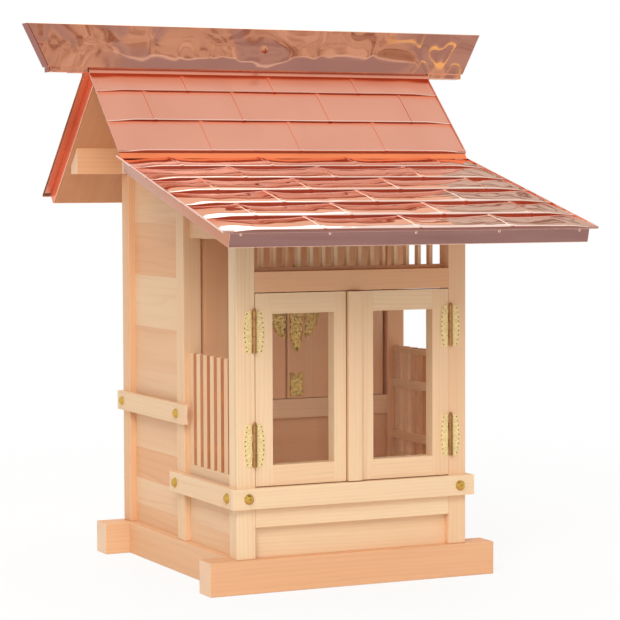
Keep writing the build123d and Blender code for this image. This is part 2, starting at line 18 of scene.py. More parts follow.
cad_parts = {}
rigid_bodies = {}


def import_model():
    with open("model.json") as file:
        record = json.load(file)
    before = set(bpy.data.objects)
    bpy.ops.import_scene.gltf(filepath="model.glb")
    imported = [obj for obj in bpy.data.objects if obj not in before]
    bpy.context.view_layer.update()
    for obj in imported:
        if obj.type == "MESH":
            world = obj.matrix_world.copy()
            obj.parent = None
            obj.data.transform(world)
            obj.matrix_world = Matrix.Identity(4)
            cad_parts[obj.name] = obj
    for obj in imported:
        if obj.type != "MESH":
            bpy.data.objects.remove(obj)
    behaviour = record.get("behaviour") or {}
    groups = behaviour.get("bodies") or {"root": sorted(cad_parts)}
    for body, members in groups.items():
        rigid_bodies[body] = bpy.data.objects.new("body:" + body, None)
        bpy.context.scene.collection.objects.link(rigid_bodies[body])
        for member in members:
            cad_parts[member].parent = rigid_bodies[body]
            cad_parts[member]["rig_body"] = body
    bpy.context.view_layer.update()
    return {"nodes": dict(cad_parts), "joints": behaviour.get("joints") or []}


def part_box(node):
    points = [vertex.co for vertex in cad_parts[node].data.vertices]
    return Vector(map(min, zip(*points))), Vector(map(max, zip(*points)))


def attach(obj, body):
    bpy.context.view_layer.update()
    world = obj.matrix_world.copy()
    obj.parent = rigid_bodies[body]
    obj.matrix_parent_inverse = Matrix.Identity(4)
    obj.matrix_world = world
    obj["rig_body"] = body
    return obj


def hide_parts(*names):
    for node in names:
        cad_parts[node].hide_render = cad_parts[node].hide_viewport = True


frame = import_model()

bl_info = {
    "name": "Copper-roofed shrine",
    "version": (1, 0, 0),
    "blender": (4, 5, 0),
    "location": "3D View > Sidebar > Shrine",
    "description": "Dresses the packed shrine in planed cypress, lapped copper and pressed brass",
    "category": "Object",
}

X_AXIS = Vector((1, 0, 0))
Y_AXIS = Vector((0, 1, 0))
Z_AXIS = Vector((0, 0, 1))
ROOT = "shrine"
SIDES = ((-1, "left"), (1, "right"))
# Lengths in metres: points taken as one, a cut just past a solid, and the air on each side of a cut
MERGE = 1e-6
OUTSIDE = 1e-4
SLIVER = 1e-5
# Faces up to the first angle are joined, and edges over the second are eased
FLAT_ANGLE = math.radians(0.5)
SHARP_ANGLE = math.radians(25)
# Edges up to these angles are shaded round
SHEET_ROUND = math.radians(50)
FOLD_ROUND = math.radians(40)
PLATE_ROUND = math.radians(35)
RIDGE_ROUND = math.radians(12)
# Part of a normal along an axis from which a face looks that way, is a board's end, or is a long face
FACING = 0.5
END_FACING = 0.8
LONG_FACING = 0.95
# Reach of the random shifts that give each board its own grain and each sheet its own dents
GRAIN_SPREAD = 3
DENT_SPREAD = 9
# Places in a copper sheet's list of finishes
OUTER, THROAT, HEM, SEAM_SIDE = range(4)


def linear(code):
    """Scene-linear colour of a six-digit hex code."""
    parts = [int(code[start:start + 2], 16) / 255 for start in (0, 2, 4)]
    return tuple(part / 12.92 if part <= 0.04045 else ((part + 0.055) / 1.055) ** 2.4 for part in parts)


def size(name, description, default):
    """Length that a user can change."""
    return FloatProperty(name=name, description=description, default=default, precision=5,
                         unit="LENGTH", subtype="DISTANCE")


def turn(name, description, degrees):
    """Angle that a user can change."""
    return FloatProperty(name=name, description=description, default=math.radians(degrees),
                         unit="ROTATION", subtype="ANGLE")


def share(name, description, default):
    """Part of a whole that a user can change."""
    return FloatProperty(name=name, description=description, default=default, min=0, max=1, subtype="FACTOR")


def tint(name, description, code):
    """Colour that a user can change."""
    return FloatVectorProperty(name=name, description=description, default=linear(code), size=3,
                               min=0, max=1, subtype="COLOR")


class TimberSettings(bpy.types.PropertyGroup):
    """Planed cypress."""
    ease: size("Broken edge", "Edge taken off each planed timber", 0.0005)
    joint: size("Joint", "Edge taken off boards that are joined flush", 0.00018)
    ring: size("Ring spacing", "Distance between two growth rings", 0.0042)
    soffit_board: size("Soffit board", "Width of the boards under the roofs", 0.0642)
    pale: tint("Pale wood", "Palest boards", "F3D9B4")
    warm: tint("Warm wood", "Warmest boards", "E8B388")
    # The second wood colour is painted shade, for the slats' sides between their neighbours and for the
    # boards under the roofs.
    shade_wood: tint("Shade-painted wood", "Painted shade on slat sides and roof boards", "DDA780")
    line: tint("Latewood", "Dark side of a growth ring", "B9713F")
    end: tint("End grain", "Sawn ends", "F7DFC6")
    seed: IntProperty(name="Seed", description="Choice of boards", default=7)


class CopperSettings(bpy.types.PropertyGroup):
    """Copper sheets."""
    low_pitch: turn("Front pitch", "Slope of the front roof", 14.8)
    steep_pitch: turn("Main pitch", "Slope of the main roof", 43.5)
    columns: IntProperty(name="Sheets", description="Whole sheets across a course", default=4)
    low_courses: IntProperty(name="Front courses", description="Courses on the front roof", default=6)
    steep_exposure: size("Main exposure", "Height of a course on the main roof", 0.0466)
    lap: size("Lap", "Height of a sheet's lower edge over the boards", 0.004)
    low_seat: size("Front seat", "Height of a front sheet's upper edge over the boards", 0.0008)
    steep_seat: size("Main seat", "Height of a main sheet's upper edge over the boards", 0.002)
    # The warmth shares set where the painted reflection of the lap above begins on a sheet.
    low_warm: share("Front warmth", "Part of a front sheet up to which it stays clear", 0.5)
    steep_warm: share("Main warmth", "Part of a main sheet up to which it stays clear", 0.86)
    tuck: size("Tuck", "Part of a sheet under the next course", 0.011)
    gauge: size("Gauge", "Thickness of a sheet", 0.0005)
    hem: size("Hem", "Thickness of a folded edge", 0.001)
    seam: size("Seam", "Width of a side seam", 0.0055)
    seam_rise: size("Seam rise", "Height of a side seam's fold", 0.0005)
    flank: size("Flank", "Reach of the peak at a side seam", 0.012)
    nose: share("Nose", "Drop of a sheet's lower edge", 0.14)
    setback: size("Setback", "Lower edge behind the line of the eave", 0.0004)
    pinch: size("Pinch", "Width beside a verge in which the sheets are pressed flat", 0.035)
    verge: size("Verge", "Height of the fold along a verge", 0.0021)
    low_throat: size("Front lap depth", "Depth of the gap under a lap on the front roof", 0.0026)
    steep_throat: size("Main lap depth", "Depth of the gap under a lap on the main roof", 0.0014)
    lean: size("Lean", "Lean of the front roof's turned-up edge", 0.0035)
    eave: size("Eave", "Depth of the fold under the lowest sheets", 0.006)
    strip: size("Ridge strip", "Flat strip each side of the ridge line", 0.0104)
    low_fold: size("Front peak", "Height of the peak at a seam on the front roof", 0.0015)
    steep_fold: size("Main peak", "Height of the peak at a seam on the main roof", 0.0002)
    low_buckle: size("Front buckle", "Depth of the dents in the front roof's sheets", 0.0008)
    steep_buckle: size("Main buckle", "Depth of the dents in the main roof's sheets", 0.0006)
    ripple: size("Ripple", "Width of a dent", 0.052)
    ridge_dent: size("Ridge dent", "Depth of the dents in the ridge box", 0.0006)
    ridge_swell: size("Ridge swell", "Swell of the ridge box's long faces", 0.0009)
    nail: size("Nail", "Radius of a nail head at the eave", 0.0014)
    ridge_nail: size("Ridge nail", "Radius of the large nail on the ridge box", 0.0046)
    nail_pitch: size("Nail pitch", "Distance between nails at the eave", 0.0912)
    satin: tint("Satin copper", "Main roof", "E3A088")
    bright: tint("Bright copper", "Front roof and eave", "FAD8C9")
    mirror: tint("Mirror copper", "Ridge box", "F6C6AC")
    dull: tint("Dull copper", "Verges", "CB8E70")
    glowing: tint("Glowing copper", "Folds warm from many reflections", "EE7E52")
    # Throat copper is painted shade: the darker copper in the gap under a lap and on the shaded side of each
    # seam.
    throat: tint("Throat", "Copper deep under a lap", "F2A688")
    # Flame copper is a painted reflection: the turned-up edge's saturated colour from the copper around it.
    flame: tint("Flame copper", "Front roof's turned-up edge", "FA8C5C")
    # Deep copper is real tarnish, and on the ridge box's ends painted shade.
    deep: tint("Deep copper", "Tarnish, and painted shade on the ridge box's ends", "8E3A20")
    seed: IntProperty(name="Seed", description="Choice of dents", default=11)


class BrassSettings(bpy.types.PropertyGroup):
    """Pressed brass."""
    dome: size("Dome", "Radius of a rail dome", 0.0052)
    dome_height: size("Dome height", "Height of a rail dome", 0.0042)
    tack: size("Tack", "Radius of a tack", 0.0007)
    plate: size("Plate", "Thickness of a door plate", 0.0008)
    scroll: size("Scroll", "Radius of a pressed scroll", 0.0024)
    wire: size("Scroll relief", "Radius of a scroll's ridge", 0.00032)
    hinge_height: size("Hinge height", "Height of a butt hinge", 0.042)
    gold: tint("Gold", "Raised brass", "FFE8AA")
    domed: tint("Domed brass", "Rail domes", "CFA850")
    barrel: tint("Barrel", "Turned brass of the knuckles", "B98A58")
    # Recess also colours the pierced eyes, as painted shade of their holes.
    recess: tint("Recess", "Brass in the recesses", "5C4014")
    seed: IntProperty(name="Seed", description="Choice of scrolls", default=5)


class StageSettings(bpy.types.PropertyGroup):
    """Camera, lights and floor."""
    place: FloatVectorProperty(name="Camera place", description="Where the camera stands",
                               default=(-1.02879, -2.19593, 0.40728), subtype="TRANSLATION", unit="LENGTH")
    azimuth: turn("Azimuth", "Camera's turn to the left of the front", 25.25)
    drop: turn("Drop", "Camera's tilt below the horizon", 3.154)
    roll: turn("Roll", "Camera's roll", -0.197)
    lens: FloatProperty(name="Lens", description="Focal length in millimetres, on the sensor's width",
                        default=133.66)
    room: FloatProperty(name="Room light", description="Strength of the even light", default=0.52)
    lift: share("Floor lift", "Part of the floor that the camera sees as white", 0.85)
    floor: tint("Floor", "Floor colour", "F7F5F2")
    card_low: tint("Card's foot", "Lower part of the card in front", "AB969B")
    card_high: tint("Card's top", "Upper part of the card in front", "DCBEAC")
    card_pale: tint("Card's pale bands", "Pale bands on the card in front", "EAD6CC")
    card_dark: tint("Card's dark bands", "Dark bands on the card in front", "8A5A48")
    card_lamp: tint("Card's bright lines", "Lamps on the card in front", "FFDC9A")
    flag: tint("Flag", "Grey card behind the roof", "CBBBB0")
    table: tint("Table", "Dark cloth in front of the shrine", "8C7875")


class ShrineSettings(bpy.types.PropertyGroup):
    """All settings of the shrine."""
    timber: PointerProperty(type=TimberSettings)
    copper: PointerProperty(type=CopperSettings)
    brass: PointerProperty(type=BrassSettings)
    stage: PointerProperty(type=StageSettings)


def settings():
    """The shrine's settings in this scene."""
    return bpy.context.scene.shrine


class Flow:
    """Value at a node's output; plain arithmetic on it adds Math nodes."""

    def __init__(self, node, name=0):
        """Take one of a node's outputs."""
        self.tree = node.id_data
        self.socket = node.outputs[name]

    def step(self, operation, *others, clamp=False):
        """Result of a Math node that starts from this value."""
        values = dict(enumerate((self, *others)))
        return flow(self.tree, "ShaderNodeMath", values, operation=operation, use_clamp=clamp)

    __add__ = partialmethod(step, "ADD")
    __sub__ = partialmethod(step, "SUBTRACT")
    __mul__ = partialmethod(step, "MULTIPLY")
    __truediv__ = partialmethod(step, "DIVIDE")


def feed(node, values):
    """Link or set a node's inputs."""
    for name, value in values.items():
        socket = node.inputs[name]
        if isinstance(value, Flow):
            value.tree.links.new(value.socket, socket)
        elif socket.type == "RGBA":
            socket.default_value = (*value, 1)
        else:
            socket.default_value = value


def add_node(tree, kind, values=None, **options):
    """Add a node, set its options, and link or set its inputs."""
    made = tree.nodes.new(kind)
    for name, value in options.items():
        setattr(made, name, value)
    feed(made, values or {})
    return made


def flow(tree, kind, values=None, output=0, **options):
    """Add a node and take one of its outputs."""
    return Flow(add_node(tree, kind, values, **options), output)


def vector_step(operation, first, second):
    """Result of a Vector Math node."""
    return flow(first.tree, "ShaderNodeVectorMath", {0: first, 1: second}, operation=operation)


def axes(vector):
    """The three parts of a vector."""
    parts = add_node(vector.tree, "ShaderNodeSeparateXYZ", {0: vector})
    return [Flow(parts, name) for name in "XYZ"]


def mix_colour(factor, first, second):
    """Colour between two colours."""
    return flow(factor.tree, "ShaderNodeMix", {0: factor, 6: first, 7: second}, 2, data_type="RGBA")


def noise_value(place, scale, detail=2.0, distortion=0.0):
    """Soft random value from 0 to 1."""
    values = {"Vector": place, "Scale": scale, "Detail": detail, "Distortion": distortion}
    return flow(place.tree, "ShaderNodeTexNoise", values)


def ramp(value, low, high):
    """Value spread from 0 at low to 1 at high."""
    values = {"Value": value, "From Min": low, "From Max": high}
    return flow(value.tree, "ShaderNodeMapRange", values, clamp=True)


def new_group(kind, name, inputs, outputs):
    """Node group with named sockets; returns its tree, the values given to it and its output node."""
    tree = bpy.data.node_groups.new(name, kind)
    for direction, sockets in (("INPUT", inputs), ("OUTPUT", outputs)):
        for label, socket_type in sockets.items():
            tree.interface.new_socket(name=label, in_out=direction, socket_type=f"NodeSocket{socket_type}")
    start = tree.nodes.new("NodeGroupInput")
    return tree, {label: Flow(start, label) for label in inputs}, tree.nodes.new("NodeGroupOutput")


# Height of the grain's fibres and of the waves in the glass
GRAIN_RELIEF = 0.00006
GLASS_WAVE = 0.0004
# What a surface effect gives to a shader
EFFECT = {"Color": "Color", "Roughness": "Float", "Height": "Float"}
# Layers of the grain, from drift to streak: repeats for each metre across and along a board, and detail
GRAIN_LAYERS = ((22, 2.2, 2.0), (16, 1.6, 3.0), (1500, 28, 4.0), (230, 5, 3.0))


def cypress_group():
    """Growth rings, fibres and board tone of straight-grained cypress."""
    if "cypress grain" in bpy.data.node_groups:
        return bpy.data.node_groups["cypress grain"]
    tree, given, made = new_group(
        "ShaderNodeTree", "cypress grain",
        {"Grain": "Vector", "Tone": "Float", "End": "Float", "Ring": "Float",
         "Pale": "Color", "Warm": "Color", "Line": "Color", "Sawn": "Color"}, EFFECT)
    grain = given["Grain"]
    drift, broad, fibre, streak = [
        noise_value(vector_step("MULTIPLY", grain, (across, across, along)), 1.0, detail)
        for across, along, detail in GRAIN_LAYERS]
    across, through, _ = axes(grain)
    wander = drift * 0.02 + (through * 0.35 + across)
    phase = (wander / given["Ring"]).step("FRACT")
    late = phase.step("POWER", 3.0) * ramp(phase, 1.0, 0.93)
    shift = (given["Tone"] - 0.5) * 0.6 + broad
    body = mix_colour(ramp(shift, 0.05, 0.95), given["Pale"], given["Warm"])
    marks = (fibre - 0.5) * 0.55 + (late * ramp(drift, 0.2, 0.8) + (streak - 0.5))
    lined = mix_colour(marks.step("MULTIPLY", 0.25, clamp=True), body, given["Line"])
    feed(made, {"Color": mix_colour(given["End"] * 0.55, lined, given["Sawn"]),
                "Roughness": fibre * 0.2 + 0.42, "Height": late * -0.5 + fibre})
    return tree


def copper_group():
    """Rolling lines, soft tarnish and small dents of sheet copper."""
    if "sheet copper" in bpy.data.node_groups:
        return bpy.data.node_groups["sheet copper"]
    tree, given, made = new_group(
        "ShaderNodeTree", "sheet copper",
        {"Vector": "Vector", "Clean": "Color", "Deep": "Color", "Tarnish": "Float",
         "Dent Scale": "Float", "Polish": "Float"}, EFFECT)
    place = given["Vector"]
    cloud = noise_value(place, 9.0, 4.0, 0.6)
    rolled = noise_value(vector_step("MULTIPLY", place, (14, 420, 420)), 1.0, 3.0)
    dent = noise_value(place, given["Dent Scale"], 1.0, 0.4)
    grime = ramp(cloud, 0.42, 0.78) * given["Tarnish"]
    feed(made, {"Color": mix_colour(grime, given["Clean"], given["Deep"]),
                "Roughness": grime * 0.15 + (rolled * 0.05 + given["Polish"]),
                "Height": rolled * 0.004 + dent})
    return tree


def pressed_group():
    """Punched and pressed ornament: bright raised brass over dark recesses."""
    if "pressed brass" in bpy.data.node_groups:
        return bpy.data.node_groups["pressed brass"]
    tree, given, made = new_group(
        "ShaderNodeTree", "pressed brass",
        {"Vector": "Vector", "Gold": "Color", "Recess": "Color", "Scale": "Float", "Depth": "Float"}, EFFECT)
    place, scale = given["Vector"], given["Scale"]
    values = {"Vector": place, "Scale": scale}
    cells = flow(tree, "ShaderNodeTexVoronoi", values, "Distance", feature="SMOOTH_F1")
    relief = noise_value(place, scale * 1.6, 2.0) * 0.5 + cells
    hollow = ramp(relief, 0.62, 0.95) * given["Depth"]
    feed(made, {"Color": mix_colour(hollow, given["Gold"], given["Recess"]),
                "Roughness": hollow * 0.25 + 0.2, "Height": relief * -1.0 + 1.0})
    return tree


def new_material(name):
    """Empty material with a Principled shader; returns the material, its tree and the shader."""
    material = bpy.data.materials.new(name)
    material.use_nodes = True
    tree = material.node_tree
    return material, tree, tree.nodes["Principled BSDF"]


def object_place(tree):
    """Place on the object, in metres."""
    return flow(tree, "ShaderNodeTexCoord", output="Object")


def wire_effect(shader, group, values, depth, strength=1.0):
    """Give a shader the colour, roughness and bump of an effect with these values."""
    effect = add_node(shader.id_data, "ShaderNodeGroup", values, node_tree=group)
    bump = {"Height": Flow(effect, "Height"), "Distance": depth, "Strength": strength}
    feed(shader, {"Base Color": Flow(effect, "Color"), "Roughness": Flow(effect, "Roughness"),
                  "Normal": flow(shader.id_data, "ShaderNodeBump", bump)})


def cypress(name="planed cypress"):
    """Cypress that follows each board's own grain; the second finish is darker, as painted shade on the
    window slats' sides and on the boards under the roofs.
    """
    if name in bpy.data.materials:
        return bpy.data.materials[name]
    wood = settings().timber
    pale, warm = (wood.pale, wood.warm) if name == "planed cypress" else (wood.shade_wood, wood.line)
    material, tree, shader = new_material(name)
    values = {label.title(): flow(tree, "ShaderNodeAttribute", output=output, attribute_name=label)
              for label, output in (("grain", "Vector"), ("tone", "Fac"), ("end", "Fac"))}
    values.update({"Ring": wood.ring, "Pale": pale, "Warm": warm, "Line": wood.line, "Sawn": wood.end})
    wire_effect(shader, cypress_group(), values, GRAIN_RELIEF, 0.5)
    feed(shader, {"Specular IOR Level": 0.3})
    return material


# Finishes of copper: colour, tarnish, dents for each metre, depth of a dent, roughness, warm under a lap
COPPER_FINISHES = {
    "satin copper": ("satin", 0.12, 30.0, 0.0002, 0.26, True),  # main roof's sheets
    "front sheet copper": ("bright", 0.1, 22.0, 0.0004, 0.0, True),  # front roof's sheets
    "bright copper": ("bright", 0.1, 22.0, 0.0004, 0.05, False),  # hems, eaves and nails
    # Throat copper is painted shade under a lap and on a seam's shaded side.
    "throat copper": ("throat", 0.15, 60.0, 0.0003, 0.3, False),  # deep under a lap
    "glowing copper": ("glowing", 0.35, 40.0, 0.0006, 0.24, False),  # main roof's seams and verges
    # Upstand copper is a painted reflection of the copper around the turned-up edge.
    "upstand copper": ("flame", 0.2, 26.0, 0.0012, 0.2, False),  # front roof's turned-up edge
    "dull copper": ("dull", 0.2, 34.0, 0.0004, 0.2, False),  # front roof's verges
    "mirror copper": ("mirror", 0.15, 14.0, 0.0005, 0.0, False),  # ridge box
    # End copper is painted shade on the ridge box's dark ends.
    "end copper": ("deep", 0.3, 40.0, 0.0004, 0.2, False),  # ridge box's ends
}


def copper(name):
    """Sheet copper of one finish; some turn warm where the lap above throws its colour on them."""
    if name in bpy.data.materials:
        return bpy.data.materials[name]
    colour, tarnish, dents, depth, roughness, warm = COPPER_FINISHES[name]
    metal = settings().copper
    material, tree, shader = new_material(name)
    clean = getattr(metal, colour)
    if warm:
        glow = flow(tree, "ShaderNodeAttribute", output="Fac", attribute_name="glow")
        clean = mix_colour(glow, clean, metal.glowing)
    values = {"Vector": object_place(tree), "Clean": clean, "Deep": metal.deep, "Tarnish": tarnish,
              "Dent Scale": dents, "Polish": roughness}
    wire_effect(shader, copper_group(), values, depth)
    feed(shader, {"Metallic": 1.0})
    return material


# Finishes of brass: colour, pattern's repeats for each metre, dark of its recesses, relief, metallic share
BRASS_FINISHES = {
    "polished brass": ("gold", 90.0, 0.12, 0.00002, 0.4),  # scrolls and tacks
    "pressed brass plate": ("gold", 560.0, 0.25, 0.0002, 0.15),  # hinge plates
    "turned brass": ("barrel", 120.0, 0.2, 0.00002, 0.8),  # knuckles
    # The pierced eyes are dark domes, painted shade of their holes.
    "blackened brass": ("recess", 200.0, 0.3, 0.00002, 0.6),  # pierced eyes
    "domed brass": ("domed", 90.0, 0.2, 0.00002, 0.85),  # rail domes
    "pierced brass plate": ("domed", 400.0, 0.9, 0.0003, 0.5),  # inner doors' plates
}


def brass(name):
    """Brass of one finish."""
    if name in bpy.data.materials:
        return bpy.data.materials[name]
    colour, scale, depth, relief, metallic = BRASS_FINISHES[name]
    metal = settings().brass
    material, tree, shader = new_material(name)
    values = {"Vector": object_place(tree), "Gold": getattr(metal, colour), "Recess": metal.recess,
              "Scale": scale, "Depth": depth}
    wire_effect(shader, pressed_group(), values, relief)
    feed(shader, {"Metallic": metallic})
    return material


def clear_glass():
    """Thin clear window glass with a faint wave."""
    if "clear glass" in bpy.data.materials:
        return bpy.data.materials["clear glass"]
    material, tree, shader = new_material("clear glass")
    bump = {"Height": noise_value(object_place(tree), 9.0, 1.0), "Distance": GLASS_WAVE, "Strength": 0.1}
    feed(shader, {"Normal": flow(tree, "ShaderNodeBump", bump), "Base Color": (1, 1, 1), "Roughness": 0.0,
                  "IOR": 1.2, "Transmission Weight": 1.0})
    return material


def node_solid(name):
    """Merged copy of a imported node's mesh with its flat faces joined."""
    source = frame["nodes"][name].data
    solid = bmesh.new()
    corners = [solid.verts.new(vertex.co) for vertex in source.vertices]
    for polygon in source.polygons:
        solid.faces.new([corners[index] for index in polygon.vertices])
    bmesh.ops.remove_doubles(solid, verts=solid.verts, dist=MERGE)
    bmesh.ops.dissolve_limit(solid, angle_limit=FLAT_ANGLE, verts=solid.verts, edges=solid.edges)
    return solid


def box_solid(low, high):
    """Plain squared board between two corners, before its edges are eased."""
    solid = bmesh.new()
    bmesh.ops.create_cube(solid, size=1.0)
    middle = (Vector(low) + Vector(high)) / 2
    span = Vector(high) - Vector(low)
    solid.transform(Matrix.Translation(middle) @ Matrix.Diagonal((*span, 1)))
    return solid


def slab(source, axis, low, high):
    """Copy of a solid between two levels on an axis, closed where it was cut."""
    part = source.copy()
    for level, inward in ((low, 1), (high, -1)):
        geometry = [*part.verts, *part.edges, *part.faces]
        bmesh.ops.bisect_plane(part, geom=geometry, dist=MERGE, plane_co=axis * level,
                               plane_no=axis * inward, clear_inner=True)
        open_edges = [edge for edge in part.edges if edge.is_boundary]
        bmesh.ops.triangle_fill(part, use_beauty=True, edges=open_edges, normal=axis * -inward)
    bmesh.ops.dissolve_limit(part, angle_limit=FLAT_ANGLE, verts=part.verts, edges=part.edges)
    bmesh.ops.recalc_face_normals(part, faces=part.faces)
    return part


def slabs(source, axis, levels):
    """A solid cut into boards at rising levels; the source is used up."""
    parts = [slab(source, axis, low + SLIVER, high - SLIVER) for low, high in zip(levels, levels[1:])]
    source.free()
    return [part for part in parts if part.faces]


def islands(source):
    """The separate solids of a mesh, in the same order in each run; the source is used up."""
    parts = []
    left = dict.fromkeys(source.verts)
    while left:
        group = []
        stack = [left.popitem()[0]]
        while stack:
            vertex = stack.pop()
            group.append(vertex)
            for edge in vertex.link_edges:
                other = edge.other_vert(vertex)
                if other in left:
                    del left[other]
                    stack.append(other)
        part = bmesh.new()
        copies = {vertex: part.verts.new(vertex.co) for vertex in group}
        for face in source.faces:
            if face.verts[0] in copies:
                part.faces.new([copies[vertex] for vertex in face.verts])
        parts.append(part)
    source.free()
    return parts


def ease(solid, width, segments=2):
    """Take the sharp edges off a solid."""
    sharp = [edge for edge in solid.edges if edge.is_manifold and edge.calc_face_angle() > SHARP_ANGLE]
    bmesh.ops.bevel(solid, geom=sharp, offset=width, offset_type="OFFSET", segments=segments,
                    profile=0.5, affect="EDGES", clamp_overlap=True)


def longest_axis(solid):
    """Axis along which a solid is longest."""
    points = [vertex.co for vertex in solid.verts]
    spans = [max(p[i] for p in points) - min(p[i] for p in points) for i in range(3)]
    return (X_AXIS, Y_AXIS, Z_AXIS)[spans.index(max(spans))]


def mark_grain(solid, axis, draw, tones=(0, 1)):
    """Give a board its own place in the grain, its tone and its sawn ends."""
    upright = axis.rotation_difference(Z_AXIS)
    shift = Vector([draw.uniform(0, GRAIN_SPREAD) for _ in range(3)])
    tone = draw.uniform(*tones)
    grain = solid.verts.layers.float_vector.new("grain")
    for vertex in solid.verts:
        vertex[grain] = upright @ vertex.co + shift
    tone_layer = solid.faces.layers.float.new("tone")
    end_layer = solid.faces.layers.float.new("end")
    for face in solid.faces:
        face[tone_layer] = tone
        face[end_layer] = float(abs(face.normal.dot(axis)) > END_FACING)


def mesh_of(solid, name):
    """Plain mesh of a solid, which is used up."""
    mesh = bpy.data.meshes.new(name)
    solid.to_mesh(mesh)
    solid.free()
    return mesh


def joined(solids):
    """One solid of several, which are used up."""
    whole = bmesh.new()
    for solid in solids:
        passing = mesh_of(solid, "passing")
        whole.from_mesh(passing)
        bpy.data.meshes.remove(passing)
    return whole


def add_object(name, data):
    """New object in the scene."""
    made = bpy.data.objects.new(name, data)
    bpy.context.scene.collection.objects.link(made)
    return made


def set_piece(mesh, name, body, material, stands_for=()):
    """Put a finished mesh into the scene as a piece that rides on a body."""
    mesh.name = name
    if material:
        mesh.materials.clear()
        mesh.materials.append(material)
    piece = add_object(name, mesh)
    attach(piece, body)
    if stands_for:
        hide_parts(*stands_for)
    return piece


def set_solid(solid, name, body, material, stands_for=(), smooth=None):
    """Put a finished solid into the scene; smooth is the angle up to which its edges are shaded round."""
    mesh = mesh_of(solid, name)
    if smooth is not None:
        mesh.shade_smooth()
        mesh.set_sharp_from_angle(angle=smooth)
    return set_piece(mesh, name, body, material, stands_for)


def second_finish(piece, material, chosen):
    """Give the chosen faces of a piece a second finish."""
    piece.data.materials.append(material)
    for polygon in piece.data.polygons:
        polygon.material_index = int(chosen(polygon))


def set_boards(boards, name, node, draw, edge, axis=None, tones=((0, 1),), finish="planed cypress"):
    """Ease, mark and place the boards that stand for a node; tones run from pale to warm and take turns."""
    for number, board in enumerate(boards):
        ease(board, edge)
        mark_grain(board, axis or longest_axis(board), draw, tones[number % len(tones)])
    body = frame["nodes"][node]["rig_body"]
    return set_solid(joined(boards), name, body, cypress(finish), (node,))


def grown(mesh, tree, values):
    """Run a geometry tree on a mesh and return the plain mesh that it makes."""
    helper = add_object("helper", mesh)
    modifier = helper.modifiers.new("nodes", "NODES")
    modifier.node_group = tree
    for item in tree.interface.items_tree:
        if item.item_type == "SOCKET" and item.in_out == "INPUT" and item.name in values:
            modifier[item.identifier] = values[item.name]
    graph = bpy.context.evaluated_depsgraph_get()
    made = bpy.data.meshes.new_from_object(helper.evaluated_get(graph), preserve_all_data_layers=True,
                                           depsgraph=graph)
    helper.modifiers.remove(modifier)
    bpy.data.objects.remove(helper)
    return made


def stored(geometry, name, value, kind, domain):
    """Geometry that carries a value under a name."""
    values = {"Geometry": geometry, "Name": name, "Value": value}
    return flow(geometry.tree, "GeometryNodeStoreNamedAttribute", values, data_type=kind, domain=domain)


def named(tree, name):
    """Vector that the geometry carries under a name."""
    return flow(tree, "GeometryNodeInputNamedAttribute", {"Name": name}, data_type="FLOAT_VECTOR")


def real_with_shift(instances, seed, spread):
    """Plain geometry of instances that each carry a random shift."""
    values = {"Seed": seed, 0: (0, 0, 0), 1: (spread, spread, spread)}
    shift = flow(instances.tree, "FunctionNodeRandomValue", values, data_type="FLOAT_VECTOR")
    marked = stored(instances, "shift", shift, "FLOAT_VECTOR", "INSTANCE")
    return flow(instances.tree, "GeometryNodeRealizeInstances", {"Geometry": marked})


def hand_out(made, geometry, values):
    """Set the geometry's material and give it to a group's output."""
    feed(made, {0: flow(geometry.tree, "GeometryNodeSetMaterial", {"Geometry": geometry, **values})})


def row_tree():
    """Geometry tree: one board repeated in a straight row, each with its own tone and grain."""
    if "timber row" in bpy.data.node_groups:
        return bpy.data.node_groups["timber row"]
    tree, given, made = new_group(
        "GeometryNodeTree", "timber row",
        {"Geometry": "Geometry", "Count": "Int", "Step": "Vector", "Seed": "Int", "Material": "Material"},
        {"Geometry": "Geometry"})
    line = flow(tree, "GeometryNodeMeshLine", {"Count": given["Count"], "Offset": given["Step"]})
    row = flow(tree, "GeometryNodeInstanceOnPoints", {"Points": line, "Instance": given["Geometry"]})
    tone = flow(tree, "FunctionNodeRandomValue", {"Seed": given["Seed"]}, 1, data_type="FLOAT")
    toned = stored(row, "tone", tone, "FLOAT", "INSTANCE")
    real = real_with_shift(toned, given["Seed"], GRAIN_SPREAD)
    moved = vector_step("ADD", named(tree, "grain"), named(tree, "shift"))
    grained = stored(real, "grain", moved, "FLOAT_VECTOR", "POINT")
    hand_out(made, grained, {"Material": given["Material"]})
    return tree


def fittings_tree():
    """Geometry tree: one fitting set on each point, facing along its stored direction."""
    if "fittings on points" in bpy.data.node_groups:
        return bpy.data.node_groups["fittings on points"]
    tree, given, made = new_group(
        "GeometryNodeTree", "fittings on points",
        {"Geometry": "Geometry", "Fitting": "Object", "Twist": "Float", "Seed": "Int",
         "Material": "Material"},
        {"Geometry": "Geometry"})
    fitting = flow(tree, "GeometryNodeObjectInfo", {"Object": given["Fitting"]}, "Geometry")
    aimed = flow(tree, "FunctionNodeAlignRotationToVector", {"Vector": named(tree, "facing")}, axis="Z")
    values = {2: 0.0, 3: given["Twist"], "Seed": given["Seed"]}
    spin = flow(tree, "FunctionNodeRandomValue", values, 1, data_type="FLOAT")
    twist = flow(tree, "FunctionNodeAxisAngleToRotation", {"Axis": (0, 0, 1), "Angle": spin})
    turned = flow(tree, "FunctionNodeRotateRotation", {"Rotation": aimed, "Rotate By": twist},
                  rotation_space="LOCAL")
    placed = flow(tree, "GeometryNodeInstanceOnPoints",
                  {"Points": given["Geometry"], "Instance": fitting, "Rotation": turned})
    real = flow(tree, "GeometryNodeRealizeInstances", {"Geometry": placed})
    hand_out(made, real, {"Material": given["Material"]})
    return tree


# Narrowest sheet that is laid, and the share of a sheet's own dents beside those that run on
NARROWEST = 0.2
OWN_DENTS = 0.6


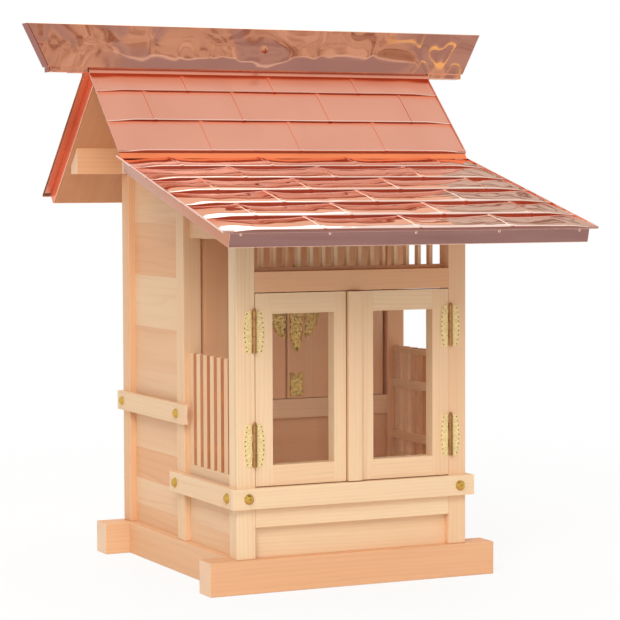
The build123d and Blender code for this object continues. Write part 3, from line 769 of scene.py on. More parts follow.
def courses_tree():
    """Geometry tree: one sheet laid in lapped courses, each course shifted by half a sheet, and buckled."""
    if "lapped sheets" in bpy.data.node_groups:
        return bpy.data.node_groups["lapped sheets"]
    tree, given, made = new_group(
        "GeometryNodeTree", "lapped sheets",
        {"Geometry": "Geometry", "Roof Width": "Float", "Columns": "Int", "Courses": "Int",
         "Exposure": "Float", "Length": "Float", "Run": "Float", "Buckle": "Float", "Dents": "Float",
         "Pinch": "Float", "Flat": "Float", "Seed": "Int", "Material": "Material"},
        {"Geometry": "Geometry"})
    # Each sheet's place in its course, cut off at the verges, and the part of its length that has room
    half = given["Roof Width"] * 0.5
    wide = given["Roof Width"] / given["Columns"]
    per_course = given["Columns"] + 1.0
    index = flow(tree, "GeometryNodeInputIndex")
    course = ((index + 0.5) / per_course).step("FLOOR")
    column = index - course * per_course
    bond = course.step("MODULO", 2.0) * 0.5
    start = (column - bond) * wide - half
    near = start.step("MAXIMUM", half * -1.0)
    far = (start + wide).step("MINIMUM", half)
    span = far - near
    foot = course * given["Exposure"]
    spot = flow(tree, "ShaderNodeCombineXYZ", {0: (near + far) * 0.5, 1: foot})
    points = flow(tree, "GeometryNodePoints", {"Count": per_course * given["Courses"], "Position": spot})
    fit = ((given["Run"] - foot) / given["Length"]).step("MINIMUM", 1.0)
    stretch = flow(tree, "ShaderNodeCombineXYZ", {0: span / wide, 1: fit, 2: 1.0})
    laid = flow(tree, "GeometryNodeInstanceOnPoints",
                {"Points": points, "Instance": given["Geometry"], "Scale": stretch,
                 "Selection": span.step("GREATER_THAN", wide * NARROWEST)})
    real = real_with_shift(laid, given["Seed"], DENT_SPREAD)
    # Dents that run on over the seams and dents of the single sheet, pressed flat at the verges
    position = flow(tree, "GeometryNodeInputPosition")
    flat = vector_step("MULTIPLY", position, (0.75, 1.0, 0.0))
    common = noise_value(flat, given["Dents"], 1.0, 0.9)
    single = noise_value(vector_step("ADD", flat, named(tree, "shift")), given["Dents"], 1.0, 0.6)
    lift = (single * OWN_DENTS + common - (1 + OWN_DENTS) / 2) * given["Buckle"]
    across, _, level = axes(position)
    values = {"Value": half - across.step("ABSOLUTE"), "From Min": 0.0, "From Max": given["Pinch"],
              "To Min": given["Flat"]}
    press = flow(tree, "ShaderNodeMapRange", values, interpolation_type="SMOOTHSTEP")
    offset = flow(tree, "ShaderNodeCombineXYZ", {2: (level + lift) * press - level})
    buckled = flow(tree, "GeometryNodeSetPosition", {"Geometry": real, "Offset": offset})
    kind = flow(tree, "GeometryNodeInputMaterialIndex")
    outer = flow(tree, "FunctionNodeCompare", {2: kind, 3: OUTER}, data_type="INT", operation="EQUAL")
    hand_out(made, buckled, {"Selection": outer, "Material": given["Material"]})
    return tree


def set_fittings(name, spots, fitting, body, material, seed, twist=0.0):
    """Set a fitting on each (place, facing) pair and place the result as one piece."""
    points = bpy.data.meshes.new("spots")
    points.from_pydata([place for place, _ in spots], [], [])
    facing = points.attributes.new("facing", "FLOAT_VECTOR", "POINT")
    facing.data.foreach_set("vector", [value for _, direction in spots for value in direction])
    mesh = mesh_of(fitting, "fitting")
    mesh.shade_smooth()
    helper = add_object("fitting", mesh)
    values = {"Fitting": helper, "Twist": twist, "Seed": seed, "Material": material}
    made = grown(points, fittings_tree(), values)
    bpy.data.objects.remove(helper)
    return set_piece(made, name, body, None)


def lathe(profile, steps=20):
    """Closed solid turned about Z from (radius, height) points that start and end on the axis."""
    solid = bmesh.new()
    angles = [2 * math.pi * step / steps for step in range(steps)]
    spokes = [(math.cos(angle), math.sin(angle)) for angle in angles]
    rings = []
    for radius, height in profile:
        if radius < MERGE:
            rings.append([solid.verts.new((0, 0, height))])
        else:
            rings.append([solid.verts.new((radius * x, radius * y, height)) for x, y in spokes])
    for lower, upper in zip(rings, rings[1:]):
        for step in range(steps):
            corners = [ring[index % len(ring)] for ring, index in
                       ((lower, step), (lower, step + 1), (upper, step + 1), (upper, step))]
            solid.faces.new(list(dict.fromkeys(corners)))
    bmesh.ops.recalc_face_normals(solid, faces=solid.faces)
    return solid


# Rim of a dome in parts of its size, and the angles of the points on its crown
DOME_RIM = 0.12
DOME_ANGLES = [math.radians(angle) for angle in (0, 18, 36, 54, 72)]


def dome(radius, height, steps=20):
    """Domed head with a thin rim, seated a little into what carries it."""
    crown = 1 - DOME_RIM
    arc = [(radius * crown * math.cos(angle), height * (DOME_RIM + crown * math.sin(angle)))
           for angle in DOME_ANGLES]
    rim = height * DOME_RIM
    return lathe([(0, -rim), (radius, -rim), (radius, rim), *arc, (0, height)], steps)


def plate_solid(outline, thickness, edge):
    """Flat plate from an outline of (X, Z) points, its face to the front at Y zero."""
    solid = bmesh.new()
    face = solid.faces.new([solid.verts.new((x, 0, z)) for x, z in outline])
    face.normal_update()
    pushed = bmesh.ops.extrude_face_region(solid, geom=[face])
    moved = [item for item in pushed["geom"] if isinstance(item, bmesh.types.BMVert)]
    bmesh.ops.translate(solid, vec=(0, -thickness, 0), verts=moved)
    bmesh.ops.recalc_face_normals(solid, faces=solid.faces)
    ease(solid, edge, 1)
    return solid


# A scroll's turns, the part of its radius that it winds in, its points and the sides of its wire
SCROLL_TURNS = 1.6
SCROLL_WIND = 0.82
SCROLL_POINTS = 26
WIRE_SIDES = 6


def scroll_solid(radius, wire):
    """Spiral ridge that lies on the XY plane, its wire half sunk and thinner at both ends."""
    solid = bmesh.new()
    sides = WIRE_SIDES
    rings = []
    for number in range(SCROLL_POINTS):
        part = number / (SCROLL_POINTS - 1)
        angle = 2 * math.pi * SCROLL_TURNS * part
        reach = radius * (1 - SCROLL_WIND * part)
        thin = wire * (0.55 + 0.45 * math.sin(math.pi * min(1.0, 0.25 + part)))
        out = Vector((math.cos(angle), math.sin(angle), 0))
        ring = []
        for side in range(sides):
            spin = 2 * math.pi * side / sides
            rise = Z_AXIS * thin * math.sin(spin)
            ring.append(solid.verts.new(out * (reach + thin * math.cos(spin)) + rise))
        rings.append(ring)
    for first, second in zip(rings, rings[1:]):
        for side in range(sides):
            after = (side + 1) % sides
            solid.faces.new([first[side], first[after], second[after], second[side]])
    for ring in (rings[0], rings[-1]):
        solid.faces.new(ring)
    bmesh.ops.recalc_face_normals(solid, faces=solid.faces)
    return solid


# Each group of boards has its own row of random draws
DRAWS = {"timbers": 1, "rails": 2, "walls": 3, "roof boards": 5, "slats": 31, "bars": 33, "upper slats": 37,
         "upper rails": 38, "doors": 41, "inner doors": 43}


def draw_for(number):
    """Random draws that are the same in each run."""
    return random.Random(settings().timber.seed * 1000 + number)


# Ranges of tone from pale, at 0, to warm, which a piece's boards take in turn
WARM = ((0.9, 1.2),)
MIDDLING = ((0.45, 0.8),)
PALE = ((0.0, 0.3),)
STRIPED = ((0.7, 0.9), (0.25, 0.4), (1.1, 1.3), (0.35, 0.5), (0.6, 0.8))
# The inner pieces, the right middle post and the rear purlin take the warm tone partly as painted shade of
# the dim light behind the glass and under the roof; the sills are warm in their own colour.
PLAIN_TIMBERS = {
    "front_sill": WARM, "rear_sill": WARM, "left_sill": WARM, "right_sill": WARM,
    "left_front_post": PALE, "right_front_post": MIDDLING, "left_middle_post": MIDDLING,
    "right_middle_post": WARM, "left_rear_post": WARM, "right_rear_post": WARM, "door_head": WARM,
    "middle_purlin": WARM, "rear_purlin": WARM, "front_floor": WARM, "inner_floor": WARM,
    "inner_kick_panel": WARM, "inner_threshold": MIDDLING, "inner_head": WARM,
}


class SHRINE_OT_timbers(bpy.types.Operator):
    """Dress the sills, posts, purlins, floors and inner boards in planed cypress."""
    bl_idname = "shrine.timbers"
    bl_label = "Timbers"

    def execute(self, context):
        """Ease and grain each timber."""
        draw = draw_for(DRAWS["timbers"])
        for node, tones in PLAIN_TIMBERS.items():
            set_boards([node_solid(node)], f"{node}_timber", node, draw, settings().timber.ease, tones=tones)
        return {"FINISHED"}


class SHRINE_OT_rails(bpy.types.Operator):
    """Dress the waist rail and the upper rail as three boards each."""
    bl_idname = "shrine.rails"
    bl_label = "Rails"

    def execute(self, context):
        """Cut each rail where its long board meets the side boards."""
        draw = draw_for(DRAWS["rails"])
        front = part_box("left_front_post")[0].y
        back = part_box("left_rear_post")[1].y
        for node, joint in (("waist_rail", front), ("upper_rail", back)):
            low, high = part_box(node)
            parts = slabs(node_solid(node), Y_AXIS, (low.y - OUTSIDE, joint, high.y + OUTSIDE))
            boards = [board for part in parts for board in islands(part)]
            set_boards(boards, f"{node}_boards", node, draw, settings().timber.ease, tones=PALE)
        return {"FINISHED"}


# Heights of the wall boards from the sill up, in metres
WALL_BOARDS = (0.021, 0.029, 0.034, 0.043, 0.045, 0.046, 0.056, 0.056, 0.057, 0.052, 0.05, 0.06)


class SHRINE_OT_walls(bpy.types.Operator):
    """Dress the walls and aprons as stacked boards."""
    bl_idname = "shrine.walls"
    bl_label = "Walls"

    apron_joint: size("Apron joint", "Front apron's joint under the waist rail", 0.0195)

    def execute(self, context):
        """Cut each wall into level boards with alternating tones."""
        draw = draw_for(DRAWS["walls"])
        for node in ("left_wall", "right_wall", "rear_wall", "left_apron", "right_apron", "front_apron",
                     "left_window_lintel", "right_window_lintel"):
            low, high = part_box(node)
            levels, tones = [low.z - OUTSIDE], STRIPED
            if node == "front_apron":
                levels.append(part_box("waist_rail")[0].z - self.apron_joint)
                tones = PALE
            else:
                for board in WALL_BOARDS:
                    if levels[-1] + board < high.z - board / 2:
                        levels.append(levels[-1] + board)
            levels.append(high.z + OUTSIDE)
            axis = X_AXIS if node in ("rear_wall", "front_apron") else Y_AXIS
            boards = slabs(node_solid(node), Z_AXIS, levels)
            set_boards(boards, f"{node}_boards", node, draw, settings().timber.joint, axis, tones)
        return {"FINISHED"}


class SHRINE_OT_lattices(bpy.types.Operator):
    """Build the window lattices and the lattice over the doors from slats and bars."""
    bl_idname = "shrine.lattices"
    bl_label = "Lattices"

    slat: size("Slat", "Width of a window slat", 0.01)
    slat_depth: size("Slat depth", "Depth of a window slat", 0.0047)
    foot: size("Foot", "Height of the rail under the slats", 0.0095)
    bar: size("Bar", "Height of a bar", 0.0092)
    lower_bar: size("Lower bar", "Middle of the lower bar over the window's foot", 0.03)
    middle_bar: size("Middle bar", "Middle of the middle bar over the window's foot", 0.086)
    top_bar: size("Top bar", "Height of the highest bar", 0.005)
    crest: size("Crest", "Slat above its highest bar", 0.0015)
    notch: size("Notch", "Depth of a bar let into the slats", 0.001)
    slats: IntProperty(name="Slats", description="Slats in a window", default=7)
    transom_slat: size("Upper slat", "Width of a slat over the doors", 0.0038)
    transom_foot: size("Upper foot", "Height of the rail under the upper slats", 0.0036)
    transom_light: size("Upper light", "Open height over the doors", 0.0284)
    transom_slats: IntProperty(name="Upper slats", description="Slats over the doors", default=15)

    def row(self, slat, count, step, seed):
        """Mesh of a row of like slats from the first one."""
        ease(slat, settings().timber.ease)
        mark_grain(slat, Z_AXIS, draw_for(seed))
        slat.faces.layers.float.remove(slat.faces.layers.float["tone"])
        values = {"Count": count, "Step": step, "Seed": seed, "Material": cypress()}
        return grown(mesh_of(slat, "slat"), row_tree(), values)

    def window(self, side, name):
        """One window: slats outside, three bars behind them and a foot rail."""
        node = f"{name}_window_lattice"
        low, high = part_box(node)
        out, inner = (high.x, low.x) if side > 0 else (low.x, high.x)
        slat_x = sorted((out, out - side * self.slat_depth))
        bar_x = sorted((inner, out - side * (self.slat_depth - self.notch)))
        pitch = (high.y - low.y - self.slat) / (self.slats - 1)
        slat = box_solid((slat_x[0], low.y, low.z + self.foot), (slat_x[1], low.y + self.slat, high.z))
        slats = self.row(slat, self.slats, (0, pitch, 0), DRAWS["slats"] + side)
        boards = [box_solid((low.x, low.y, low.z), (high.x, high.y, low.z + self.foot))]
        top = high.z - low.z - self.crest - self.top_bar / 2
        for level, tall in ((self.lower_bar, self.bar), (self.middle_bar, self.bar), (top, self.top_bar)):
            foot = low.z + level - tall / 2
            boards.append(box_solid((bar_x[0], low.y, foot), (bar_x[1], high.y, foot + tall)))
        set_boards(boards, f"{node}_bars", node, draw_for(DRAWS["bars"] + side), settings().timber.ease,
                   Y_AXIS)
        piece = set_piece(slats, f"{node}_slats", ROOT, cypress())
        # The slats' sides take the darker cypress, painted shade between neighbouring slats.
        second_finish(piece, cypress("sawn cypress"), lambda polygon: abs(polygon.normal.y) > FACING)

    def transom(self):
        """Lattice over the doors: foot rail, slats and the board above."""
        node = "transom_lattice"
        low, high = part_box(node)
        foot_top = low.z + self.transom_foot
        light_top = foot_top + self.transom_light
        pitch = (high.x - low.x) / (self.transom_slats + 1)
        first = (low.x + high.x - pitch * (self.transom_slats - 1) - self.transom_slat) / 2
        slat = box_solid((first, low.y, foot_top), (first + self.transom_slat, high.y, light_top))
        slats = self.row(slat, self.transom_slats, (pitch, 0, 0), DRAWS["upper slats"])
        whole = node_solid(node)
        cuts = ((low.z - OUTSIDE, foot_top), (light_top, high.z + OUTSIDE))
        boards = [slab(whole, Z_AXIS, *levels) for levels in cuts]
        whole.free()
        set_boards(boards, f"{node}_rails", node, draw_for(DRAWS["upper rails"]), settings().timber.ease,
                   X_AXIS)
        set_piece(slats, f"{node}_slats", ROOT, None)

    def execute(self, context):
        """Build both windows and the transom."""
        for side, name in SIDES:
            self.window(side, name)
        self.transom()
        return {"FINISHED"}


def split_batten(part, face):
    """A board of a door, cut from the batten in front of the leaf's face; the part is used up."""
    low = min(vertex.co.y for vertex in part.verts)
    high = max(vertex.co.y for vertex in part.verts)
    if face - low < OUTSIDE:
        return [part]
    cuts = ((low - OUTSIDE, face - SLIVER), (face + SLIVER, high + OUTSIDE))
    pieces = [slab(part, Y_AXIS, *levels) for levels in cuts]
    part.free()
    return pieces


class SHRINE_OT_doors(bpy.types.Operator):
    """Dress the glazed doors as framed leaves with clear panes, and the inner doors as boarded leaves."""
    bl_idname = "shrine.doors"
    bl_label = "Doors"

    rabbet: size("Rabbet", "Depth of the glass in its frame", 0.0038)
    inner_board: size("Inner board", "Width of a board of the inner doors", 0.03)
    reach: size("Reach", "Part of the clearance beside the posts that the hinge stiles fill", 0.0007)

    def leaf(self, side, name):
        """Framed leaf: full-height stiles, rails between them and the batten on the right leaf."""
        node = f"{name}_door"
        low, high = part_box(node)
        glass_low, glass_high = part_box(f"{name}_door_glass")
        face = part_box("left_door")[0].y
        solid = node_solid(node)
        hinge_edge = low.x if side < 0 else high.x
        for vertex in solid.verts:
            if abs(vertex.co.x - hinge_edge) < OUTSIDE:
                vertex.co.x += side * self.reach
        past = self.reach + OUTSIDE
        sight = (glass_low.x + self.rabbet, glass_high.x - self.rabbet)
        parts = slabs(solid, X_AXIS, (low.x - past, *sight, high.x + past))
        boards = [board for part in parts for island in islands(part) for board in split_batten(island, face)]
        set_boards(boards, f"{node}_frame", node, draw_for(DRAWS["doors"]), settings().timber.joint,
                   tones=PALE)

    def inner_leaf(self, name):
        """Inner leaf of upright boards with its batten."""
        node = f"{name}_inner_door"
        low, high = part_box(node)
        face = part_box("left_inner_door")[0].y
        levels = [low.x - OUTSIDE]
        while levels[-1] + self.inner_board * 1.5 < high.x:
            levels.append(levels[-1] + self.inner_board)
        levels.append(high.x + OUTSIDE)
        parts = slabs(node_solid(node), X_AXIS, levels)
        boards = [board for part in parts for board in split_batten(part, face)]
        # The inner doors' warm tone is partly painted shade of the dim light inside.
        set_boards(boards, f"{node}_boards", node, draw_for(DRAWS["inner doors"]), settings().timber.joint,
                   Z_AXIS, WARM)

    def execute(self, context):
        """Dress both pairs of doors and glaze the outer pair."""
        for side, name in SIDES:
            self.leaf(side, name)
            self.inner_leaf(name)
            pane = frame["nodes"][f"{name}_door_glass"]
            pane.data.materials.clear()
            pane.data.materials.append(clear_glass())
        return {"FINISHED"}


class SHRINE_OT_roof_boards(bpy.types.Operator):
    """Dress the boards under the copper."""
    bl_idname = "shrine.roof_boards"
    bl_label = "Roof boards"

    def execute(self, context):
        """Cut each roof into boards that run down its slope."""
        draw = draw_for(DRAWS["roof boards"])
        metal = settings().copper
        wide = settings().timber.soffit_board
        for node, pitch in (("front_roof_boards", metal.low_pitch), ("steep_roof_boards", metal.steep_pitch),
                            ("rear_roof_boards", -metal.steep_pitch)):
            low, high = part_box(node)
            count = round((high.x - low.x) / wide)
            step = (high.x - low.x + 2 * OUTSIDE) / count
            levels = [low.x - OUTSIDE + step * number for number in range(count + 1)]
            slope = Vector((0, math.cos(pitch), math.sin(pitch)))
            # The boards under the roofs take the darker cypress, painted shade of the roofs' underside.
            set_boards(slabs(node_solid(node), X_AXIS, levels), f"{node}_planks", node, draw,
                       settings().timber.joint, slope, PALE, "sawn cypress")
        return {"FINISHED"}


def slope_frame(boards, copper_node, pitch, facing):
    """Matrix and length of a slope: X across, Y up the slope and Z out, from the copper's lower edge."""
    board_low, board_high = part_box(boards)
    sheet_low, sheet_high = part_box(copper_node)
    lap = settings().copper.lap
    top_y = board_high.y if facing > 0 else board_low.y
    edge_y = sheet_low.y if facing > 0 else sheet_high.y
    foot_y = edge_y + facing * lap * math.sin(pitch)
    foot_z = board_high.z - abs(top_y - foot_y) * math.tan(pitch)
    along = Vector((0, facing * math.cos(pitch), math.sin(pitch)))
    out = Vector((0, -facing * math.sin(pitch), math.cos(pitch)))
    matrix = Matrix((along.cross(out), along, out)).transposed().to_4x4()
    matrix.translation = Vector((0, foot_y, foot_z))
    return matrix, abs(top_y - foot_y) / math.cos(pitch)


# Mesh of a copper sheet: cells across and up, folds and raised part in parts of its seam's width,
# rows of its rounded edge in parts of its gauge, and rows of its hem
SHEET_CELLS = (24, 18)
SEAM_FOLDS = (0, 0.1, 0.17, 0.83, 0.9, 1)
SEAM_RAISED = (0.15, 0.85)
EDGE_ROWS = (0, 0.6, 1.2)
HEM_ROWS = 3
# Rounding of a lower edge and the rest of its hem's thickness, and the underside in parts of the seat
EDGE_ROUND = 0.4
HEM_REST = 0.6
UNDERSIDE = 0.9
# Shape of a sheet: how late its nose drops, how far it bellies out, and how late its peaks rise
NOSE_POWER = 9
BELLY = 0.9
PEAK_POWER = 1.4


def sheet_solid(width, exposure, fold, throat, seat, warm):
    """One thin sheet on the XY plane, hemmed at its lower edge and sagging between its side seams."""
    metal = settings().copper
    length = exposure + metal.tuck
    seam, gauge = metal.seam, metal.gauge
    wide, tall = SHEET_CELLS
    under = metal.low_seat * UNDERSIDE
    raised_from, raised_to = [seam * part for part in SEAM_RAISED]
    columns = [seam * part for part in SEAM_FOLDS]
    columns += [seam + (width - seam) * number / wide for number in range(1, wide + 1)]
    rows = [metal.setback + gauge * part for part in EDGE_ROWS] + [throat, throat + gauge / 2]
    rows += [length * number / tall for number in range(2, tall + 1)]

    def top(column, row):
        """Height of the sheet over the boards."""
        part = min(1.0, row / exposure)
        sag = (1 - part) * (1 - metal.nose * (1 - part) ** NOSE_POWER + BELLY * part)
        nearness = max(0.0, 1 - (row - metal.setback) / (gauge * EDGE_ROWS[-1]))
        round_edge = metal.hem * EDGE_ROUND * nearness ** 2
        left = math.exp(-max(0.0, column - seam) / metal.flank)
        right = math.exp((column - width) / (3 * metal.flank))
        peak = fold * max(left, right) * part ** PEAK_POWER
        ridge = metal.seam_rise if raised_from < column < raised_to else 0.0
        return seat + (metal.lap - seat) * sag - round_edge + peak + ridge

    solid = bmesh.new()
    glow = solid.verts.layers.float.new("glow")
    grid = []
    for column in columns:
        upper = [(row, top(column, row)) for row in rows]
        lower = [(row, level - metal.hem * HEM_REST if row <= throat else min(under, level) - gauge)
                 for row, level in reversed(upper)]
        grid.append([solid.verts.new((column - width / 2, row, level)) for row, level in upper + lower])
        # The glow layer paints the warm reflection of the lap above onto the sheet's upper part.
        for vertex in grid[-1]:
            vertex[glow] = max(0.0, min(1.0, (vertex.co.y / exposure - warm) / (1 - warm)))
    turns = len(grid[0])
    # Faces under a lap and each seam's right side take throat copper, painted shade.
    left_side, right_side = grid[1], grid[3]
    # Each seam's left side takes the seam finish as painted light on its lit side, and the hem rows take
    # bright copper as a painted highlight along the lower edge.
    for first, second in zip(grid, grid[1:]):
        for number in range(turns):
            after = (number + 1) % turns
            face = solid.faces.new([first[number], first[after], second[after], second[number]])
            if first is right_side or len(rows) <= number < turns - HEM_ROWS:
                face.material_index = THROAT
            elif first is left_side:
                face.material_index = SEAM_SIDE
            elif number < HEM_ROWS or number >= turns - HEM_ROWS:
                face.material_index = HEM
    for line in (grid[0], grid[-1]):
        solid.faces.new(line)
    bmesh.ops.recalc_face_normals(solid, faces=solid.faces)
    return solid


# Height of the sheets at a verge, in parts of the fold along it
PRESSED = 0.6


class SHRINE_OT_courses(bpy.types.Operator):
    """Lay the copper sheets on the three roof slopes."""
    bl_idname = "shrine.courses"
    bl_label = "Copper courses"

    def lay(self, name, pitch, facing, courses, profile, buckle, finish, seam):
        """One slope: lining, lapped sheets and, on the main roof, the flat strip under the ridge."""
        metal = settings().copper
        node = f"{name}_copper"
        low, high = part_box(node)
        width = high.x - low.x
        half = width / 2
        matrix, slope = slope_frame(f"{name}_boards", node, pitch, facing)
        rise = metal.lap * math.tan(pitch)
        if courses:
            run, end = slope - rise, slope - rise
            exposure, count = run / courses, courses
        else:
            run = slope - metal.strip / math.cos(pitch)
            end = run + metal.tuck / 4
            exposure, count = metal.steep_exposure, math.ceil((run + rise) / metal.steep_exposure)
        sheet = mesh_of(sheet_solid(width / metal.columns, exposure, *profile), "sheet")
        sheet.shade_smooth()
        sheet.set_sharp_from_angle(angle=SHEET_ROUND)
        # Besides the sheet's face, throat copper is painted shade, bright copper on the hems a painted
        # highlight, and the seam finish painted light on the seams' lit sides.
        for label in (finish, "throat copper", "bright copper", seam):
            sheet.materials.append(copper(label))
        made = grown(sheet, courses_tree(), {
            "Roof Width": width, "Columns": metal.columns, "Courses": count, "Exposure": exposure,
            "Length": exposure + metal.tuck, "Run": end, "Buckle": buckle, "Dents": 1 / metal.ripple,
            "Pinch": metal.pinch, "Flat": metal.verge / metal.lap * PRESSED, "Seed": metal.seed + len(name),
            "Material": copper(finish)})
        made.transform(matrix)
        set_piece(made, f"{name}_sheets", ROOT, None, (node,))
        lining = [box_solid((-half, 0, 0), (half, slope, metal.gauge / 2))]
        if not courses:
            lining.append(box_solid((-half, run, metal.gauge), (half, slope + rise, metal.lap)))
        for side, _ in SIDES:
            inner, outer = sorted((side * half, side * (half - metal.hem)))
            lining.append(box_solid((inner, metal.setback * 2, 0), (outer, slope, metal.verge)))
        lining.append(box_solid((-half + metal.hem, metal.setback * 3, 0),
                                (half - metal.hem, metal.eave, metal.lap - 2 * metal.hem)))
        for part in lining:
            ease(part, metal.gauge / 8, 1)
            part.transform(matrix)
        set_solid(joined(lining), f"{name}_lining", ROOT, copper(finish))

    def upstand(self):
        """Front roof's top edge, turned up under the main roof's lower edge."""
        metal = settings().copper
        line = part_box("steep_roof_boards")[0].y
        low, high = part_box("steep_roof_copper")
        matrix, _ = slope_frame("front_roof_boards", "front_roof_copper", metal.low_pitch, 1)
        foot = matrix.translation.z + (line - matrix.translation.y) * math.tan(metal.low_pitch)
        solid = box_solid((low.x + metal.hem, line - metal.gauge, foot + metal.gauge),
                          (high.x - metal.hem, line + metal.gauge, low.z))
        for vertex in solid.verts:
            if vertex.co.z < low.z - metal.lap:
                vertex.co.y -= metal.lean
        ease(solid, metal.gauge / 4, 1)
        # The upstand's flame copper is a painted reflection of the copper around it.
        set_solid(solid, "front_roof_upstand", ROOT, copper("upstand copper"))

    def execute(self, context):
        """Lay the front, steep and rear slopes."""
        metal = settings().copper
        profile = (metal.low_fold, metal.low_throat, metal.low_seat, metal.low_warm)
        self.lay("front_roof", metal.low_pitch, 1, metal.low_courses, profile, metal.low_buckle,
                 "front sheet copper", "bright copper")
        self.upstand()
        profile = (metal.steep_fold, metal.steep_throat, metal.steep_seat, metal.steep_warm)
        for name, facing in (("steep_roof", 1), ("rear_roof", -1)):
            self.lay(name, metal.steep_pitch, facing, 0, profile, metal.steep_buckle,
                     "satin copper", "glowing copper")
        return {"FINISHED"}


class SHRINE_OT_trim(bpy.types.Operator):
    """Dress the copper folded over the roof edges and nail it along the eave."""
    bl_idname = "shrine.trim"
    bl_label = "Copper trim"

    nails: IntProperty(name="Nails", description="Nails on each side of the middle one", default=2)
    nail_drop: size("Nail drop", "Nail under the eave's upper edge", 0.0022)
    nail_crown: share("Nail crown", "Height of a nail head in parts of its radius", 0.6)
    edge: size("Edge", "Rounded edge of the folded copper", 0.0008)

    def execute(self, context):
        """Ease the folded copper and set the nails."""
        metal = settings().copper
        # On the main roof's verges the sides take glowing copper, a painted reflection.
        for node, sides in (("front_roof_trim", "dull copper"), ("main_roof_trim", "glowing copper")):
            solid = node_solid(node)
            ease(solid, self.edge, 3)
            fold = set_solid(solid, f"{node}_fold", ROOT, copper("bright copper"), (node,),
                             FOLD_ROUND)
            second_finish(fold, copper(sides), lambda polygon: abs(polygon.normal.x) > abs(polygon.normal.y))
        matrix, _ = slope_frame("front_roof_boards", "front_roof_copper", metal.low_pitch, 1)
        out = matrix.col[2].to_3d()
        downhill = -matrix.col[1].to_3d()
        top = matrix.translation
        run = (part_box("front_roof_trim")[0].y - top.y) / -downhill.y
        line = top - downhill * run - out * self.nail_drop
        spots = [(line + X_AXIS * metal.nail_pitch * number, downhill)
                 for number in range(-self.nails, self.nails + 1)]
        nail = dome(metal.nail, metal.nail * self.nail_crown, steps=12)
        set_fittings("eave_nails", spots, nail, ROOT, copper("bright copper"), metal.seed)
        return {"FINISHED"}


# Dents of the ridge box for each metre along it and up it
RIDGE_DENTS = (14, 22)


class SHRINE_OT_ridge(bpy.types.Operator):
    """Dress the ridge box in dented mirror copper."""
    bl_idname = "shrine.ridge"
    bl_label = "Ridge box"

    cell: size("Cell", "Size of the mesh cells that carry the dents", 0.0065)
    edge: size("Edge", "Rounded edge of the folded sheet", 0.0006)
    nail_level: share("Nail level", "Nail's place down the front face", 0.43)
    nail_crown: share("Nail crown", "Height of the nail head in parts of its radius", 0.75)

    def execute(self, context):
        """Divide the box into small cells, swell and dent its long faces, and set its nail."""
        metal = settings().copper
        solid = node_solid("ridge_box")
        ease(solid, self.edge, 2)
        low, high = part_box("ridge_box")
        for axis, start, end in ((X_AXIS, low.x, high.x), (Z_AXIS, low.z, high.z)):
            level = start + self.cell
            while level < end - self.cell / 2:
                geometry = [*solid.verts, *solid.edges, *solid.faces]
                bmesh.ops.bisect_plane(solid, geom=geometry, dist=MERGE, plane_co=axis * level, plane_no=axis)
                level += self.cell
        solid.normal_update()
        middle = (low + high) / 2
        along, up = RIDGE_DENTS
        for vertex in solid.verts:
            if abs(vertex.normal.y) > LONG_FACING:
                spot = Vector((vertex.co.x * along, metal.seed + vertex.normal.y, vertex.co.z * up))
                level = 2 * (vertex.co.z - middle.z) / (high.z - low.z)
                swell = (metal.ridge_swell + metal.ridge_dent * noise.noise(spot)) * (1 - level * level)
                vertex.co.y += math.copysign(swell, vertex.co.y - middle.y)
        box = set_solid(solid, "ridge_box_sheet", ROOT, copper("mirror copper"), ("ridge_box",),
                        RIDGE_ROUND)
        # The ends take deep copper, painted shade.
        second_finish(box, copper("end copper"), lambda polygon: abs(polygon.normal.x) > FACING)
        spot = Vector((0, low.y - metal.ridge_swell, high.z - (high.z - low.z) * self.nail_level))
        nail = dome(metal.ridge_nail, metal.ridge_nail * self.nail_crown)
        set_fittings("ridge_nail", [(spot, -Y_AXIS)], nail, ROOT, copper("dull copper"), metal.seed)
        return {"FINISHED"}


